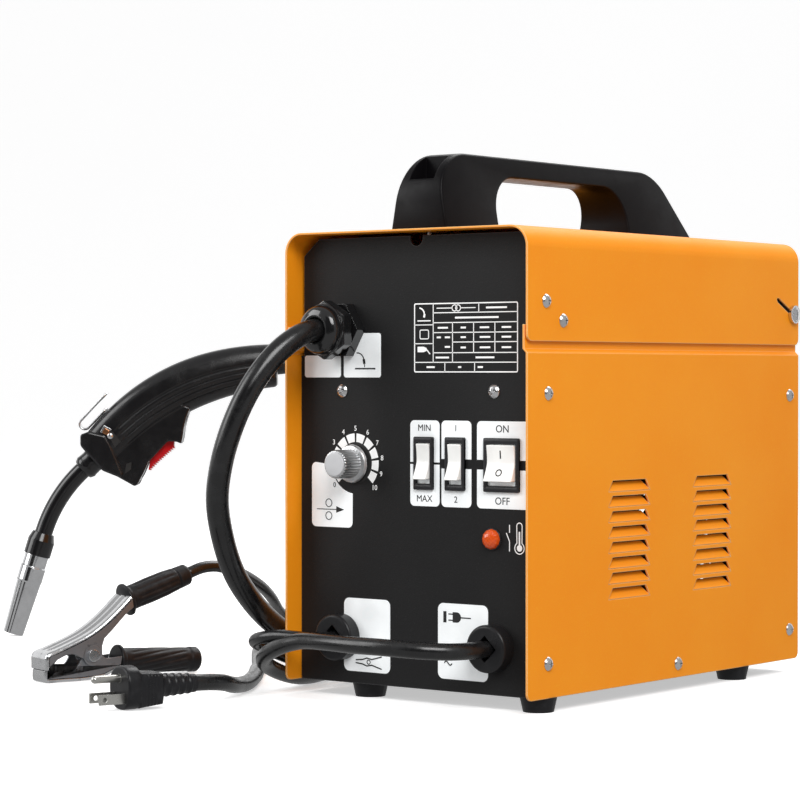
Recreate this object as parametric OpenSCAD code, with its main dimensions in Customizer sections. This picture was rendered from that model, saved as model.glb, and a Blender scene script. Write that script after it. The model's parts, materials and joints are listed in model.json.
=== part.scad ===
// Gasless wire-feed welding machine with its torch, earth clamp and mains lead.
// Origin: centre of the base tray's underside. Front is -Y, up is +Z. Millimetres.

/* [Case] */
// Width over the side panels
case_w = 190; // [180:1:220]
// Depth of the cover and side panels
case_d = 323; // [310:1:360]
// Height from the tray's underside to the top of the cover
case_h = 286; // [280:1:300]
// Thickness of the sheet metal
sheet = 1.2; // [0.8:0.1:1.5]
// How far the front panel lies behind the front edges
front_recess = 14.5; // [8:0.5:20]
// How far the rear panel lies inside the rear edges
rear_recess = 3; // [2:0.5:6]
// Height of the cover's side skirts
cover_skirt = 70; // [66:1:72]
// Outer bend radius of the cover
cover_bend_r = 13; // [8:1:16]
// Rounding of the lower corners of the cover and panels
corner_r = 4.5; // [2:0.5:8]
// Inward step of the side panels' top strip
joggle = 2.4; // [2:0.1:3]
// Room above the middle deck, up to the top of the cover
upper_room = 136; // [134:1:138]
// Height of the rubber feet
foot_h = 9; // [6:1:14]
// Diameter of a foot at the tray
foot_d = 23; // [18:1:28]

/* [Louvres] */
// Number of louvre rows in each column
louvre_rows = 8; // [4:1:8]
// Pitch of the rows
louvre_pitch = 9.6; // [9:0.1:10]
// Length of a louvre at its lower edge
louvre_len = 48; // [30:1:60]
// Height of a louvre
louvre_h = 7; // [5:0.1:8]
// Height of the highest louvre's upper edge
louvre_top_z = 129.5; // [120:0.5:135]
// Distance between the two columns' centres
louvre_gap = 99; // [80:1:120]

/* [Handle] */
// Length of the handle at its feet
handle_len = 290; // [270:1:300]
// Height of the handle over the cover
handle_h = 49; // [42:1:60]
// Width of the handle at its feet
handle_w = 44; // [38:1:50]
// Width of the handle at its top
handle_top_w = 26; // [22:1:30]
// Thickness of the grip bar
grip_t = 13; // [10:0.5:16]
// Length of the finger opening
finger_len = 150; // [120:1:160]

/* [Controls] */
// Height of the rocker switches' centres
switch_z = 140.7; // [136:0.5:146]
// Height of a switch bezel
bezel_h = 33; // [30:0.5:36]
// Width of a small switch bezel
small_bezel_w = 15; // [13:0.5:17]
// Width of the mains switch bezel
large_bezel_w = 26.6; // [24:0.2:30]
// Angle that a rocker leans to either side
rocker_lean = 9; // [6:1:12]
// Distance of the speed knob's axis to the left of the centre
knob_x = 50.2; // [46:0.2:54]
// Height of the speed knob's axis
knob_z = 139.3; // [130:0.5:145]
// Diameter of the knob's barrel
knob_d = 18.4; // [14:0.2:20]
// Diameter of the knob's skirt
knob_skirt_d = 24.4; // [22:0.2:28]
// Diameter of the lamp's lens
lamp_d = 12.8; // [10:0.2:16]

/* [Cord inlets] */
// Distance of the gland and of the cord bushes from the sides
inlet_in = 35; // [31:1:39]
// How far the torch hose and the wire's path lie below the cover's top
wire_drop = 62; // [60:1:68]
// Height of the earth and mains bushes
bush_z = 29; // [26:1:34]
// Diameter of a cord bush
bush_d = 29.4; // [26:0.2:34]
// How far a cord bush stands out
bush_out = 10; // [6:0.5:12]
// Size across the flats of the gland's nut
gland_af = 33; // [30:0.5:36]

/* [Cords] */
// Diameter of the torch hose
hose_d = 14.5; // [12:0.5:16]
// Diameter of the earth lead
earth_d = 8; // [6:0.5:9]
// Diameter of the mains lead
mains_d = 10.5; // [8:0.5:11]

/* [Wire feed] */
// Diameter of the wire spool
spool_d = 100; // [90:1:104]
// Width of the wire spool
spool_w = 45; // [40:1:47]
// Bore of the wire spool
spool_bore = 16.2; // [14:0.2:20]
// Diameter of the drive roller
drive_d = 30; // [24:1:32]
// Diameter of the pressure roller
press_d = 22; // [18:1:26]
// Diameter of the welding wire
wire_d = 0.9; // [0.6:0.1:1.2]

/* [Fan] */
// Side of the square fan frame
fan_side = 92; // [80:1:100]
// Number of fan blades
fan_blades = 7; // [5:1:9]

/* [Torch] */
// Outer diameter of the nozzle's mouth
nozzle_tip_d = 15.8; // [13:0.2:18]
// Outer diameter of the nozzle's base
nozzle_base_d = 19.8; // [18:0.2:22]
// Length of the nozzle
nozzle_len = 64; // [56:1:72]
// Diameter of the swan neck
neck_d = 13.8; // [12:0.2:15]
// Radius that the swan neck bends to
neck_bend_r = 112; // [108:1:116]
// Width of the torch handle
torch_w = 31; // [28:1:36]

/* [Earth clamp] */
// Width of the clamp's jaws
clamp_w = 24; // [20:1:28]
// Thickness of the clamp's steel
clamp_sheet = 1.6; // [1.2:0.1:2]
// Diameter of the clamp's rubber grips
clamp_grip_d = 17; // [16:0.5:20]

/* [Plug] */
// Length of the plug's body without its strain relief
plug_len = 28; // [26:1:34]
// Diameter of the plug's face
plug_d = 27; // [25:0.5:30]

/* [Clearances] */
// Radial clearance of a turning pin
pin_clear = 0.05; // [0.02:0.01:0.1]
// Gap between parts that are seated side by side
seat_gap = 0.3; // [0.2:0.05:0.4]

/* [Hidden] */
$fn = 48;
hair = 0.02;
floor_z = -foot_h;

// Planes of the case
half_w = case_w / 2;
front_edge = -case_d / 2;
rear_edge = case_d / 2;
front_y = front_edge + front_recess;
rear_y = rear_edge - rear_recess;
front_in = front_y + sheet;
rear_in = rear_y - sheet;
cover_edge_z = case_h - cover_skirt;
deck_z = case_h - upper_room;
inlet_x = half_w - inlet_in;
wire_z = case_h - wire_drop;
skin_x = half_w - sheet;
frame_x = skin_x - seat_gap;
joggle_z = cover_edge_z - 7;
joggle_top = joggle_z + joggle;
strip_x = skin_x - joggle;
strip_top = cover_edge_z + 10;
upper_x = strip_x - seat_gap;
panel_top = case_h - sheet - 2.3;
flange_len = 24;
tray_rim = 15;
tray_x = frame_x - sheet - seat_gap;

// Screws
screw_d = 4;
screw_head_d = 8.6;
screw_head_h = 2.6;
case_screw_spots = [
    [front_in + 6.2, cover_edge_z - 31.5], [rear_in - 7.8, cover_edge_z - 34.5], [front_in + 6.2, 21],
    [6.8, 9], [rear_in - 7.8, 20.5]
];
front_screw_z = cover_edge_z - 30.5;
cover_screw_spots = [[front_in + 4, cover_edge_z + 24.3], [front_in + 22, cover_edge_z + 12.7]];
notch_top = cover_edge_z + 30;
notch_slack = 0.5;

// Cover hinge
pivot_y = rear_in - 3.8;
pivot_z = cover_edge_z + 21;
pivot_d = 5;
pivot_head_d = 12.4;
pivot_slot = [-19.5, 9.6];

// Feet, placed from the tray's edges
foot_spots = [[half_w - 10.5, front_edge + 26.5], [-half_w + 48, front_edge + 27.5],
    [half_w - 10.5, rear_edge - 70.5], [-half_w + 48, rear_edge - 70.5]];

// Controls
min_max_x = 6.4;
one_two_x = 30.8;
mains_x = 66.2;
bezel_out = 1.8;
housing_deep = 20;
rocker_pin_d = 3;
rocker_z = bezel_h - 10;
small_rocker_w = small_bezel_w - 5;
large_rocker_w = large_bezel_w - 5.6;
lamp_x = 58.5;
lamp_z = 95.4;
knob_shaft_d = 5;
knob_len = 20;
bush_hole = 11.7;
gland_bore = hose_d + 0.4;
gland_thread_d = 28;
gland_hex_len = 10;
gland_nut_len = 18;
gland_end = front_y - gland_hex_len - gland_nut_len;

// Wire feed
feed_y = front_in + 56;
feeder_x = -inlet_x + 12;
feeder_t = 4;
drive_z = wire_z - wire_d / 2 - drive_d / 2;
press_z = wire_z + wire_d / 2 + press_d / 2;
arm_pivot = [feed_y - 24, press_z + 2];
spool_y = 44;
spool_z = deck_z + sheet + spool_d / 2 + 12;
spool_rim = 2.5;
spindle_d = spool_bore - 2 * pin_clear;
fan_z = 76;
fan_t = 25;
fan_y = rear_in - fan_t / 2 - seat_gap;

// Torch frame: X runs along the torch, Z up, Y through its thickness
torch_turn = 38;
torch_at = [-275.3, 188.2];
nozzle_dir = 73;
nozzle_tip = [-303, floor_z + nozzle_tip_d / 2 * cos(nozzle_dir) + 0.02];
// Clamp frame: X runs along the clamp from its mouth
clamp_turn = 72;
clamp_at = [-266, -214];
// Plug frame: X runs from the plug's face to its cord
plug_turn = 71;
plug_at = [-120.6, -287.5];
plug_axis_z = floor_z + plug_d / 2;

// ---- Shared shapes ----

module rounded_square(w, h, r) {
    translate([r, 0]) square([w - 2 * r, h]);
    translate([0, r]) square([w, h - 2 * r]);
    for (x = [r, w - r], y = [r, h - r])
        translate([x, y]) circle(r);
}

// Draws a flat outline given in (x, z) as a plate whose faces lie at y and y + t
module plate_xz(y, t) {
    translate([0, y + t, 0]) rotate([90, 0, 0]) linear_extrude(t) children();
}

// Draws a flat outline given in (y, z) as a plate whose faces lie at x and x + t
module plate_yz(x, t) {
    translate([x, 0, 0]) rotate([90, 0, 90]) linear_extrude(t) children();
}

module bar_x(x0, x1, y, z, d) {
    translate([x0, y, z]) rotate([0, 90, 0]) cylinder(h = x1 - x0, d = d);
}

module bar_y(y0, y1, x, z, d) {
    translate([x, y0, z]) rotate([-90, 0, 0]) cylinder(h = y1 - y0, d = d);
}

module hexagon(af) {
    circle(d = af / cos(30), $fn = 6);
}

// A pan-head screw along +Z, with its head's seat at the origin
module pan_screw(length) {
    difference() {
        rotate_extrude() {
            square([screw_d / 2, 0.5]);
            translate([0, -length]) square([screw_d / 2, length + 0.1]);
            intersection() {
                square([screw_head_d / 2, screw_head_h]);
                translate([0, -2.6]) circle(d = 10.4);
            }
        }
        for (turn = [0, 90])
            rotate([0, 0, turn]) translate([-2.2, -0.4, 1.2]) cube([4.4, 0.8, screw_head_h]);
    }
}

function arc(cx, cy, r, from, to, steps = 8) =
    [for (i = [0 : steps]) let (a = from + (to - from) * i / steps) [cx + r * cos(a), cy + r * sin(a)]];

function bezier(p0, p1, p2, p3, steps = 8) =
    [for (i = [0 : steps]) let (t = i / steps, s = 1 - t)
        s * s * s * p0 + 3 * s * s * t * p1 + 3 * s * t * t * p2 + t * t * t * p3];

function unit(v) = v / norm(v);

// The point that lies s beyond a on the line from b through a
function beyond(a, b, s) = a + s * unit(a - b);

// ---- Tubes along a route ----

function tangent(p, i) = i == 0 ? unit(p[1] - p[0])
    : i == len(p) - 1 ? unit(p[i] - p[i - 1])
    : unit(unit(p[i] - p[i - 1]) + unit(p[i + 1] - p[i]));

function side_vectors(p, i, last, made) = i == len(p) ? made
    : let (t = tangent(p, i), s = unit(last - (last * t) * t))
        side_vectors(p, i + 1, s, concat(made, [s]));

// A closed tube of the given sides swept along the points p
module tube(p, d, sides) {
    start = tangent(p, 0);
    first = abs(start[2]) > 0.9 ? [1, 0, 0] : [0, 0, 1];
    s = side_vectors(p, 0, first, []);
    rings = [for (i = [0 : len(p) - 1]) let (t = tangent(p, i), u = s[i], v = cross(t, u))
        for (k = [0 : sides - 1]) let (a = 360 * (k + 0.5) / sides) p[i] + d / 2 * (cos(a) * u + sin(a) * v)];
    n = len(p);
    walls = [for (i = [0 : n - 2], k = [0 : sides - 1])
        let (a = i * sides + k, b = i * sides + (k + 1) % sides)
            each [[a, b, b + sides], [a, b + sides, a + sides]]];
    caps = [for (k = [1 : sides - 2]) each [[0, k + 1, k],
        [(n - 1) * sides, (n - 1) * sides + k, (n - 1) * sides + k + 1]]];
    polyhedron(points = rings, faces = [for (f = concat(walls, caps)) [f[0], f[2], f[1]]], convexity = 6);
}

// The points of a lying coil. It spirals in on the floor for half of its turns, climbs one layer in
// the half turn where the spiral reverses, and spirals out again on top. turn_way is 1 or -1.
function coil_radius(t, turns, r, step) = t < turns / 2 ? r - step * t : r - step * (turns - t);
function coil_lift(t, turns, step) =
    let (u = (t - turns / 2) / 0.5 + 0.5) step * min(1, max(0, u));
function coil_points(c, z, r, step, turns, start, turn_way) =
    [for (i = [0 : turns * 24]) let (t = i / 24, a = start + turn_way * 360 * t, q = coil_radius(t, turns, r, step))
        [c[0] + q * cos(a), c[1] + q * sin(a), z + coil_lift(t, turns, step)]];
function coil_with_ends(p, d) = let (n = len(p) - 1)
    concat([p[0] + d * unit(p[0] - p[1])], p, [p[n] + d * unit(p[n] - p[n - 1])]);

// Least gap between the loops of a coil, measured between points half a turn or more apart
function least_gap(p, d) = min([for (i = [0 : len(p) - 14], j = [i + 13 : len(p) - 1]) norm(p[i] - p[j])]) - d;

// Torch hose: from the gland down to the floor, along the case, into its coil
hose_lie = floor_z + hose_d / 2 + 0.1;
hose_step = hose_d + 0.8;
hose_coil_at = [-67, 255];
hose_coil_r = 84;
hose_coil_turns = 43 / 24;
hose_coil = coil_with_ends(coil_points(hose_coil_at, hose_lie, hose_coil_r, hose_step, hose_coil_turns,
    180, -1), hose_d);
hose_front_route = [
    [-60, -139, 224], [-60, -155, 224], [-60, -171, 224], [-62, -184, 221], [-67, -198, 212], [-73, -210, 198],
    [-79, -219, 181], [-86, -224, 161], [-93, -225, 140], [-100, -221, 117], [-105, -210, 92],
    [-109, -195, 70], [-111, -178, 53], [-112, -160, 39], [-112, -138, 26], [-112, -113, 13],
    [-111, -87, 4], [-111, -60, -1], [-111, -30, hose_lie], [-111, 0, hose_lie], [-111, 30, hose_lie],
    [-112, 60, hose_lie], [-119, 95, hose_lie], [-131, 130, hose_lie], [-142.6, 165, hose_lie],
    [-152.7, 196, hose_lie], [-155.3, 207, hose_lie], [-156.1, 218, hose_lie],
    beyond(hose_coil[0], hose_coil[1], 12), hose_coil[0]
];
// From the coil up to the torch's tail
hose_back_route = [
    hose_coil[len(hose_coil) - 1], beyond(hose_coil[len(hose_coil) - 1], hose_coil[len(hose_coil) - 2], 12),
    [-135, 179, 13.65], [-152, 181, 13.65], [-172, 183, 9.5], [-193, 185, 4], [-214, 187, 2.5],
    [-233, 188, 10], [-249, 189, 28], [-258, 189, 52], [-263, 188, 75], [-268, 186, 98],
    [-273, 183, 121], [-280, 179, 142], [-288, 174, 161], [-298, 167, 178], [-311, 158, 191],
    [-326, 147.6, 200]
];

// Mains lead: from its bush round the front corner, through its coil and out to the plug
mains_lie = floor_z + mains_d / 2 + 0.1;
mains_step = mains_d + 0.8;
mains_coil_at = [-188, 36];
mains_coil_r = 60;
mains_coil_turns = 61 / 24;
mains_coil = coil_with_ends(coil_points(mains_coil_at, mains_lie, mains_coil_r, mains_step,
    mains_coil_turns, 0, 1), mains_d);
mains_front_route = [
    [60, -141, 29], [60, -163, 29], [54, -182, 29], [39, -196, 30], [18, -202, 31], [-8, -202, 31],
    [-34, -198, 31], [-54, -193, 30], [-72, -190, 26], [-91, -184, 19], [-106, -169, 11], [-112, -148, 3],
    [-115, -127, -2], [-119, -108, mains_lie], [-124, -88, mains_lie], [-127, -65, mains_lie],
    [-127, -40, mains_lie], [-126.5, -10, mains_lie], beyond(mains_coil[0], mains_coil[1], 9), mains_coil[0]
];
mains_plug_route = [
    mains_coil[len(mains_coil) - 1], beyond(mains_coil[len(mains_coil) - 1], mains_coil[len(mains_coil) - 2], 8),
    [-241.5, -10, 6.5], [-236, -22, 3], [-228, -34, -1], [-216, -48, mains_lie], [-201, -65, mains_lie],
    [-184, -84, mains_lie], [-169, -104, mains_lie], [-153, -124, mains_lie], [-139, -143, mains_lie],
    [-126, -163, mains_lie], [-115, -184, -2.5], [-105.9, -201.7, 0], [-101.9, -213.5, 2.5], [-101.2, -226, 4]
];

// Earth lead: from its bush behind the mains lead, round the case and back to the clamp
earth_lie = floor_z + earth_d / 2 + 0.1;
earth_route = [
    [-60, -141, 29], [-60, -156, 29], [-62, -165, 29], [-68, -171, 29], [-77, -173, 29.5], [-90, -174, 29.5],
    [-102, -174, 28], [-111, -171, 26], [-117, -166, 23.5], [-119, -157, 20], [-117, -146, 15],
    [-111, -135, 10], [-105, -124, 5],
    [-101, -108, 0], [-99.5, -90, -3.5], [-99.5, -65, earth_lie], [-99.5, -40, earth_lie],
    [-99.5, -15, earth_lie], [-99.5, 10, earth_lie], [-99.5, 35, earth_lie], [-99.5, 60, earth_lie],
    [-101, 80, -2], [-104, 93, 4], [-110, 101, 10.5], [-120, 108, 11], [-131, 113, 10.5], [-143, 116, 4],
    [-156, 118, -3], [-172, 119, earth_lie], [-195, 119, earth_lie], [-220, 115, earth_lie],
    [-243, 105, earth_lie], [-258, 90, -2], [-267, 71, 4], [-268, 50, 12], [-262, 28, 22], [-250, 6, 33],
    [-238, -18, 43], [-229, -43, 52], [-224, -66, 59], [-224.6, -84, 63]
];
echo("least gap in the hose coil", least_gap(hose_coil, hose_d));
echo("least gap in the mains coil", least_gap(mains_coil, mains_d));

// ---- Case ----

module side_corners(z0, z1) {
    plate_yz(-half_w - 10, case_w + 20)
        translate([front_edge, z0]) rounded_square(case_d, z1 - z0, corner_r);
}

module base_tray() {
    y0 = front_in + seat_gap;
    y1 = rear_in - seat_gap;
    color("#2b2b2d")
    difference() {
        union() {
            translate([-frame_x, y0, 0]) cube([2 * frame_x, y1 - y0, sheet]);
            for (x = [-frame_x, frame_x - sheet])
                translate([x, y0, 0]) cube([sheet, y1 - y0, tray_rim]);
            for (y = [y0, y1 - sheet])
                translate([-frame_x + sheet, y, 0]) cube([2 * (frame_x - sheet), sheet, tray_rim]);
        }
        for (p = foot_spots)
            translate([p[0], p[1], -1]) cylinder(h = 2 + sheet, d = screw_d + 0.2);
        for (side = [-1, 1])
            translate([side * half_w, case_screw_spots[3][0], case_screw_spots[3][1]])
                rotate([0, -90 * side, 0]) cylinder(h = 8, d = screw_d + 0.2);
        // Slots that let air in under the transformer
        for (i = [0 : 6])
            translate([-32, 20 + i * 9, -1]) {
                translate([0, -1.6, 0]) cube([64, 3.2, sheet + 2]);
                for (x = [0, 64]) translate([x, 0, 0]) cylinder(h = sheet + 2, d = 3.2);
            }
    }
}

module panel_outline() {
    chamfer_x = 12.5;
    chamfer_z = 10.6;
    polygon([
        [-frame_x, 0], [frame_x, 0], [frame_x, joggle_z - 1], [upper_x, joggle_z - 1],
        [upper_x, panel_top - chamfer_z], [upper_x - chamfer_x, panel_top],
        [-upper_x + chamfer_x, panel_top], [-upper_x, panel_top - chamfer_z],
        [-upper_x, joggle_z - 1], [-frame_x, joggle_z - 1]
    ]);
}

// Side flanges of the front or rear panel, bent inwards from y0 to y1
module panel_flanges(y0, y1) {
    for (side = [-1, 1]) {
        x = side > 0 ? frame_x - sheet : -frame_x;
        translate([x, y0, tray_rim + seat_gap]) cube([sheet, y1 - y0, joggle_z - 1 - tray_rim - seat_gap]);
        ux = side > 0 ? upper_x - sheet : -upper_x;
        translate([ux, y0, joggle_z - 1 - sheet]) cube([sheet, y1 - y0, notch_top - joggle_z + 1 + sheet]);
        wx = side > 0 ? upper_x - sheet : -frame_x;
        translate([wx, y0, joggle_z - 1 - sheet]) cube([frame_x - upper_x + sheet, y1 - y0, sheet]);
    }
}

module side_holes(spots, d) {
    for (side = [-1, 1], p = spots)
        translate([side * (half_w + 1), p[0], p[1]])
            rotate([0, -90 * side, 0]) cylinder(h = 9, d = d);
}

module front_panel() {
    color("#2e2e30")
    difference() {
        union() {
            plate_xz(front_y, sheet) panel_outline();
            panel_flanges(front_in - hair, front_in + flange_len);
        }
        bar_y(front_y - 1, front_in + 1, 0, panel_top - 1.5, 10);
        translate([-5, front_y - 1, panel_top - 1.5]) cube([10, sheet + 2, 5]);
        bar_y(front_y - 1, front_in + 1, -inlet_x, wire_z, gland_thread_d + 0.3);
        for (x = [-inlet_x, inlet_x])
            bar_y(front_y - 1, front_in + 1, x, bush_z, bush_d - 6);
        bar_y(front_y - 1, front_in + 1, -knob_x, knob_z, 7.2);
        bar_y(front_y - 1, front_in + 1, lamp_x, lamp_z, lamp_d - 2.4);
        for (x = [-inlet_x + 0.3, inlet_x - 0.3])
            bar_y(front_y - 1, front_in + 1, x, front_screw_z, screw_d + 0.2);
        for (s = [[min_max_x, small_bezel_w], [one_two_x, small_bezel_w], [mains_x, large_bezel_w]])
            translate([s[0] - s[1] / 2 + 1.2, front_y - 1, switch_z - bezel_h / 2 + 1.5])
                cube([s[1] - 2.4, sheet + 2, bezel_h - 3]);
        side_holes([case_screw_spots[0], case_screw_spots[2]], screw_d + 0.2);
        // Notches that let the cover's loosened screws lift out
        for (p = cover_screw_spots, side = [-1, 1]) {
            translate([side * half_w, p[0], p[1]])
                rotate([0, -90 * side, 0]) cylinder(h = 10, d = screw_d + 2 * notch_slack);
            translate([side * (half_w - 5) - 5, p[0] - screw_d / 2 - notch_slack, p[1]])
                cube([10, screw_d + 2 * notch_slack, 30]);
        }
    }
}

module rear_panel() {
    ring_w = 4;
    ring_gap = 3.4;
    color("#2e2e30")
    difference() {
        union() {
            plate_xz(rear_in, sheet) panel_outline();
            panel_flanges(rear_in - flange_len, rear_in + hair);
        }
        // Fan grille: rings of slots left between four spokes
        plate_xz(rear_in - 1, sheet + 2) translate([0, fan_z]) difference() {
            for (i = [0 : 4])
                difference() {
                    circle(r = 14 + i * (ring_w + ring_gap) + ring_w);
                    circle(r = 14 + i * (ring_w + ring_gap));
                }
            for (turn = [45, 135])
                rotate(turn) square([120, 5], center = true);
        }
        for (x = [-1, 1], z = [-1, 1])
            bar_y(rear_in - 1, rear_y + 1, x * (fan_side / 2 - 5), fan_z + z * (fan_side / 2 - 5), screw_d + 0.2);
        side_holes([case_screw_spots[1], case_screw_spots[4]], screw_d + 0.2);
        side_holes([[pivot_y, pivot_z]], pivot_d + 0.1);
    }
}

module deck() {
    y0 = front_in + seat_gap;
    y1 = rear_in - seat_gap;
    lip = 14;
    color("#b9bcbf")
    difference() {
        union() {
            translate([-tray_x, y0, deck_z]) cube([2 * tray_x, y1 - y0, sheet]);
            for (x = [-tray_x, tray_x - sheet])
                translate([x, y0, deck_z - lip]) cube([sheet, y1 - y0, lip + hair]);
        }
        // Clearance for the switch housings and passages for the wiring
        translate([-8, y0 - 1, deck_z - 1]) cube([2 * tray_x, housing_deep + 4, sheet + 2]);
        for (y = [-60, 100])
            translate([40, y, deck_z - 1]) cylinder(h = sheet + 2, d = 20);
    }
}

// One louvre: its cut-out, as a solid to take away from the sheet
module louvre_outline() {
    polygon([[-louvre_len / 2, 0], [louvre_len / 2, 0],
        [louvre_len / 2 - 5, louvre_h], [-louvre_len / 2 + 5, louvre_h]]);
}

// The flap of one louvre, bent inwards about its lower edge
module louvre_flap() {
    lean = 32;
    translate([skin_x, 0, 0]) rotate([0, -lean, 0])
        plate_yz(0, sheet * 0.9) polygon([[-louvre_len / 2, -0.3], [louvre_len / 2, -0.3],
            [louvre_len / 2 - 5.4, louvre_h - 0.3], [-louvre_len / 2 + 5.4, louvre_h - 0.3]]);
}

module right_side_panel_shape() {
    top_cut = strip_top;
    intersection() {
        union() {
            difference() {
                translate([0, rear_edge, 0]) rotate([90, 0, 0]) linear_extrude(case_d)
                    polygon([[skin_x, 0], [half_w, 0], [half_w, joggle_z], [half_w - joggle, joggle_top],
                        [half_w - joggle, top_cut], [strip_x, top_cut], [strip_x, joggle_top],
                        [skin_x, joggle_z]]);
                for (column = [-1, 1], row = [0 : louvre_rows - 1])
                    translate([0, column * louvre_gap / 2 - 0.8, louvre_top_z - row * louvre_pitch - louvre_h])
                        plate_yz(skin_x - 1, sheet + 2) louvre_outline();
                for (p = case_screw_spots)
                    translate([half_w + 1, p[0], p[1]]) rotate([0, -90, 0]) cylinder(h = 4, d = screw_d + 0.1);
            }
            for (column = [-1, 1], row = [0 : louvre_rows - 1])
                translate([0, column * louvre_gap / 2 - 0.8, louvre_top_z - row * louvre_pitch - louvre_h])
                    louvre_flap();
        }
        side_corners(0, case_h);
    }
}

module side_panel_right() {
    color("#f2902a") right_side_panel_shape();
}

module side_panel_left() {
    color("#f2902a") mirror([1, 0, 0]) right_side_panel_shape();
}

module feet() {
    color("#1a1a1a")
    for (p = foot_spots)
        translate([p[0], p[1], 0]) mirror([0, 0, 1]) difference() {
            cylinder(h = foot_h, d1 = foot_d, d2 = foot_d - 4);
            translate([0, 0, foot_h - 4]) cylinder(h = 5, d = 10);
        }
}

module screws() {
    color("#c9cacc") {
        for (side = [-1, 1], p = case_screw_spots)
            translate([side * half_w, p[0], p[1]]) rotate([0, 90 * side, 0]) pan_screw(6);
        for (x = [-inlet_x + 0.3, inlet_x - 0.3])
            translate([x, front_y, front_screw_z]) rotate([90, 0, 0]) pan_screw(8);
        for (x = [-1, 1], z = [-1, 1])
            translate([x * (fan_side / 2 - 5), rear_y, fan_z + z * (fan_side / 2 - 5)])
                rotate([-90, 0, 0]) pan_screw(9);
        // Shouldered screws that the cover turns on
        for (side = [-1, 1])
            translate([side * (half_w + seat_gap), pivot_y, pivot_z]) rotate([0, 90 * side, 0]) difference() {
                rotate_extrude() {
                    translate([0, -9]) square([pivot_d / 2, 9.1]);
                    square([pivot_head_d / 2, 2.4]);
                    intersection() {
                        square([pivot_head_d / 2, 4]);
                        translate([0, -6.4]) circle(d = 20.4);
                    }
                }
                translate([-pivot_head_d / 2, -0.6, 2.8]) cube([pivot_head_d, 1.2, 4]);
            }
    }
}

module gland_body() {
    color("#18181a")
    difference() {
        union() {
            translate([-inlet_x, front_y, wire_z]) rotate([90, 0, 0]) linear_extrude(gland_hex_len - 2) hexagon(gland_af);
            bar_y(front_y - gland_hex_len, front_y, -inlet_x, wire_z, gland_thread_d);
            bar_y(front_y, front_in + 8, -inlet_x, wire_z, gland_thread_d);
            translate([-inlet_x, front_in + 6.2, wire_z]) rotate([90, 0, 0]) linear_extrude(6) hexagon(gland_af);
        }
        bar_y(front_y - gland_hex_len - 1, front_in + 9, -inlet_x, wire_z, gland_bore);
    }
}

module gland_nut() {
    color("#18181a")
    translate([-inlet_x, front_y - gland_hex_len, wire_z]) rotate([90, 0, 0])
    difference() {
        union() {
            linear_extrude(9) hexagon(gland_af);
            translate([0, 0, 9 - hair]) cylinder(h = gland_nut_len - 9 + hair, d1 = gland_af - 0.5, d2 = gland_bore + 9);
        }
        translate([0, 0, -1]) cylinder(h = gland_nut_len + 2, d = gland_bore);
        translate([0, 0, 10]) cylinder(h = gland_nut_len - 9.9, d1 = gland_bore, d2 = gland_bore + 4);
    }
}

module cord_bushes() {
    color("#1c1c1e")
    for (p = [[-inlet_x, earth_d], [inlet_x, mains_d]])
        let (x = p[0]) difference() {
            union() {
                translate([x, front_y, bush_z]) rotate([90, 0, 0]) rotate_extrude() {
                    square([bush_d / 2, bush_out - 2]);
                    square([bush_d / 2 - 2, bush_out]);
                    translate([bush_d / 2 - 2, bush_out - 2]) circle(2);
                }
                bar_y(front_y - hair, front_in + 6, x, bush_z, bush_d - 6.4);
            }
            translate([x, 0, bush_z]) rotate([0, 45, 0])
                translate([-bush_hole / 2, front_y - bush_out - 1, -bush_hole / 2])
                    cube([bush_hole, bush_out, bush_hole]);
            bar_y(front_y - bush_out, front_in + 7, x, bush_z, p[1] + 0.1);
        }
}

// ---- Cover ----

module cover() {
    hinge_hole = pivot_d + 2 * pin_clear;
    reach = norm(pivot_slot);
    lean = atan2(pivot_slot[1], pivot_slot[0]);
    color("#f2902a")
    difference() {
        intersection() {
            translate([0, rear_edge, 0]) rotate([90, 0, 0]) linear_extrude(case_d) difference() {
                translate([-half_w, cover_edge_z - 30])
                    rounded_square(case_w, case_h - cover_edge_z + 30, cover_bend_r);
                translate([-skin_x, cover_edge_z - 31])
                    rounded_square(2 * skin_x, case_h - sheet - cover_edge_z + 31, cover_bend_r - sheet);
            }
            side_corners(cover_edge_z, case_h + 10);
        }
        for (side = [-1, 1]) {
            for (p = cover_screw_spots)
                translate([side * (half_w + 1), p[0], p[1]])
                    rotate([0, -90 * side, 0]) cylinder(h = 4, d = screw_d + 0.1);
            translate([side * half_w, pivot_y, pivot_z]) {
                rotate([0, 90, 0]) cylinder(h = 8, d = hinge_hole, center = true);
                plate_yz(-4, 8) rotate(lean) polygon([[0, -1.6], [reach, -1.6], [reach + 1.6, -0.6],
                    [reach + 1.6, 0.6], [reach, 1.6], [0, 1.6]]);
            }
        }
        for (y = handle_screws)
            translate([0, y, case_h - 4]) cylinder(h = 8, d = screw_d + 0.1);
    }
}

handle_y = 0;
handle_front = handle_y - handle_len / 2;
handle_rear = handle_y + handle_len / 2;
handle_top = case_h + handle_h;
handle_front_r = 31;
handle_rear_r = 38;
handle_slope = 50.7;
finger_front = handle_front + 57;
finger_top = handle_top - grip_t;
handle_floor = 4;
handle_screws = [handle_front + 12, handle_rear - 40];

module handle_outline() {
    end = 90 - handle_slope;
    tail_y = handle_rear - (handle_top - handle_rear_r + handle_rear_r * sin(end) - case_h) / tan(handle_slope);
    rear_centre = tail_y - handle_rear_r * cos(end);
    polygon(concat(
        [[handle_rear, case_h]],
        arc(rear_centre, handle_top - handle_rear_r, handle_rear_r, end, 90),
        arc(handle_front + handle_front_r - 1, handle_top - handle_front_r, handle_front_r, 90, 180),
        [[handle_front, case_h]]
    ));
}

module finger_outline() {
    translate([finger_front, case_h - 40])
        rounded_square(finger_len, finger_top - case_h + 40, 24);
}

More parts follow.
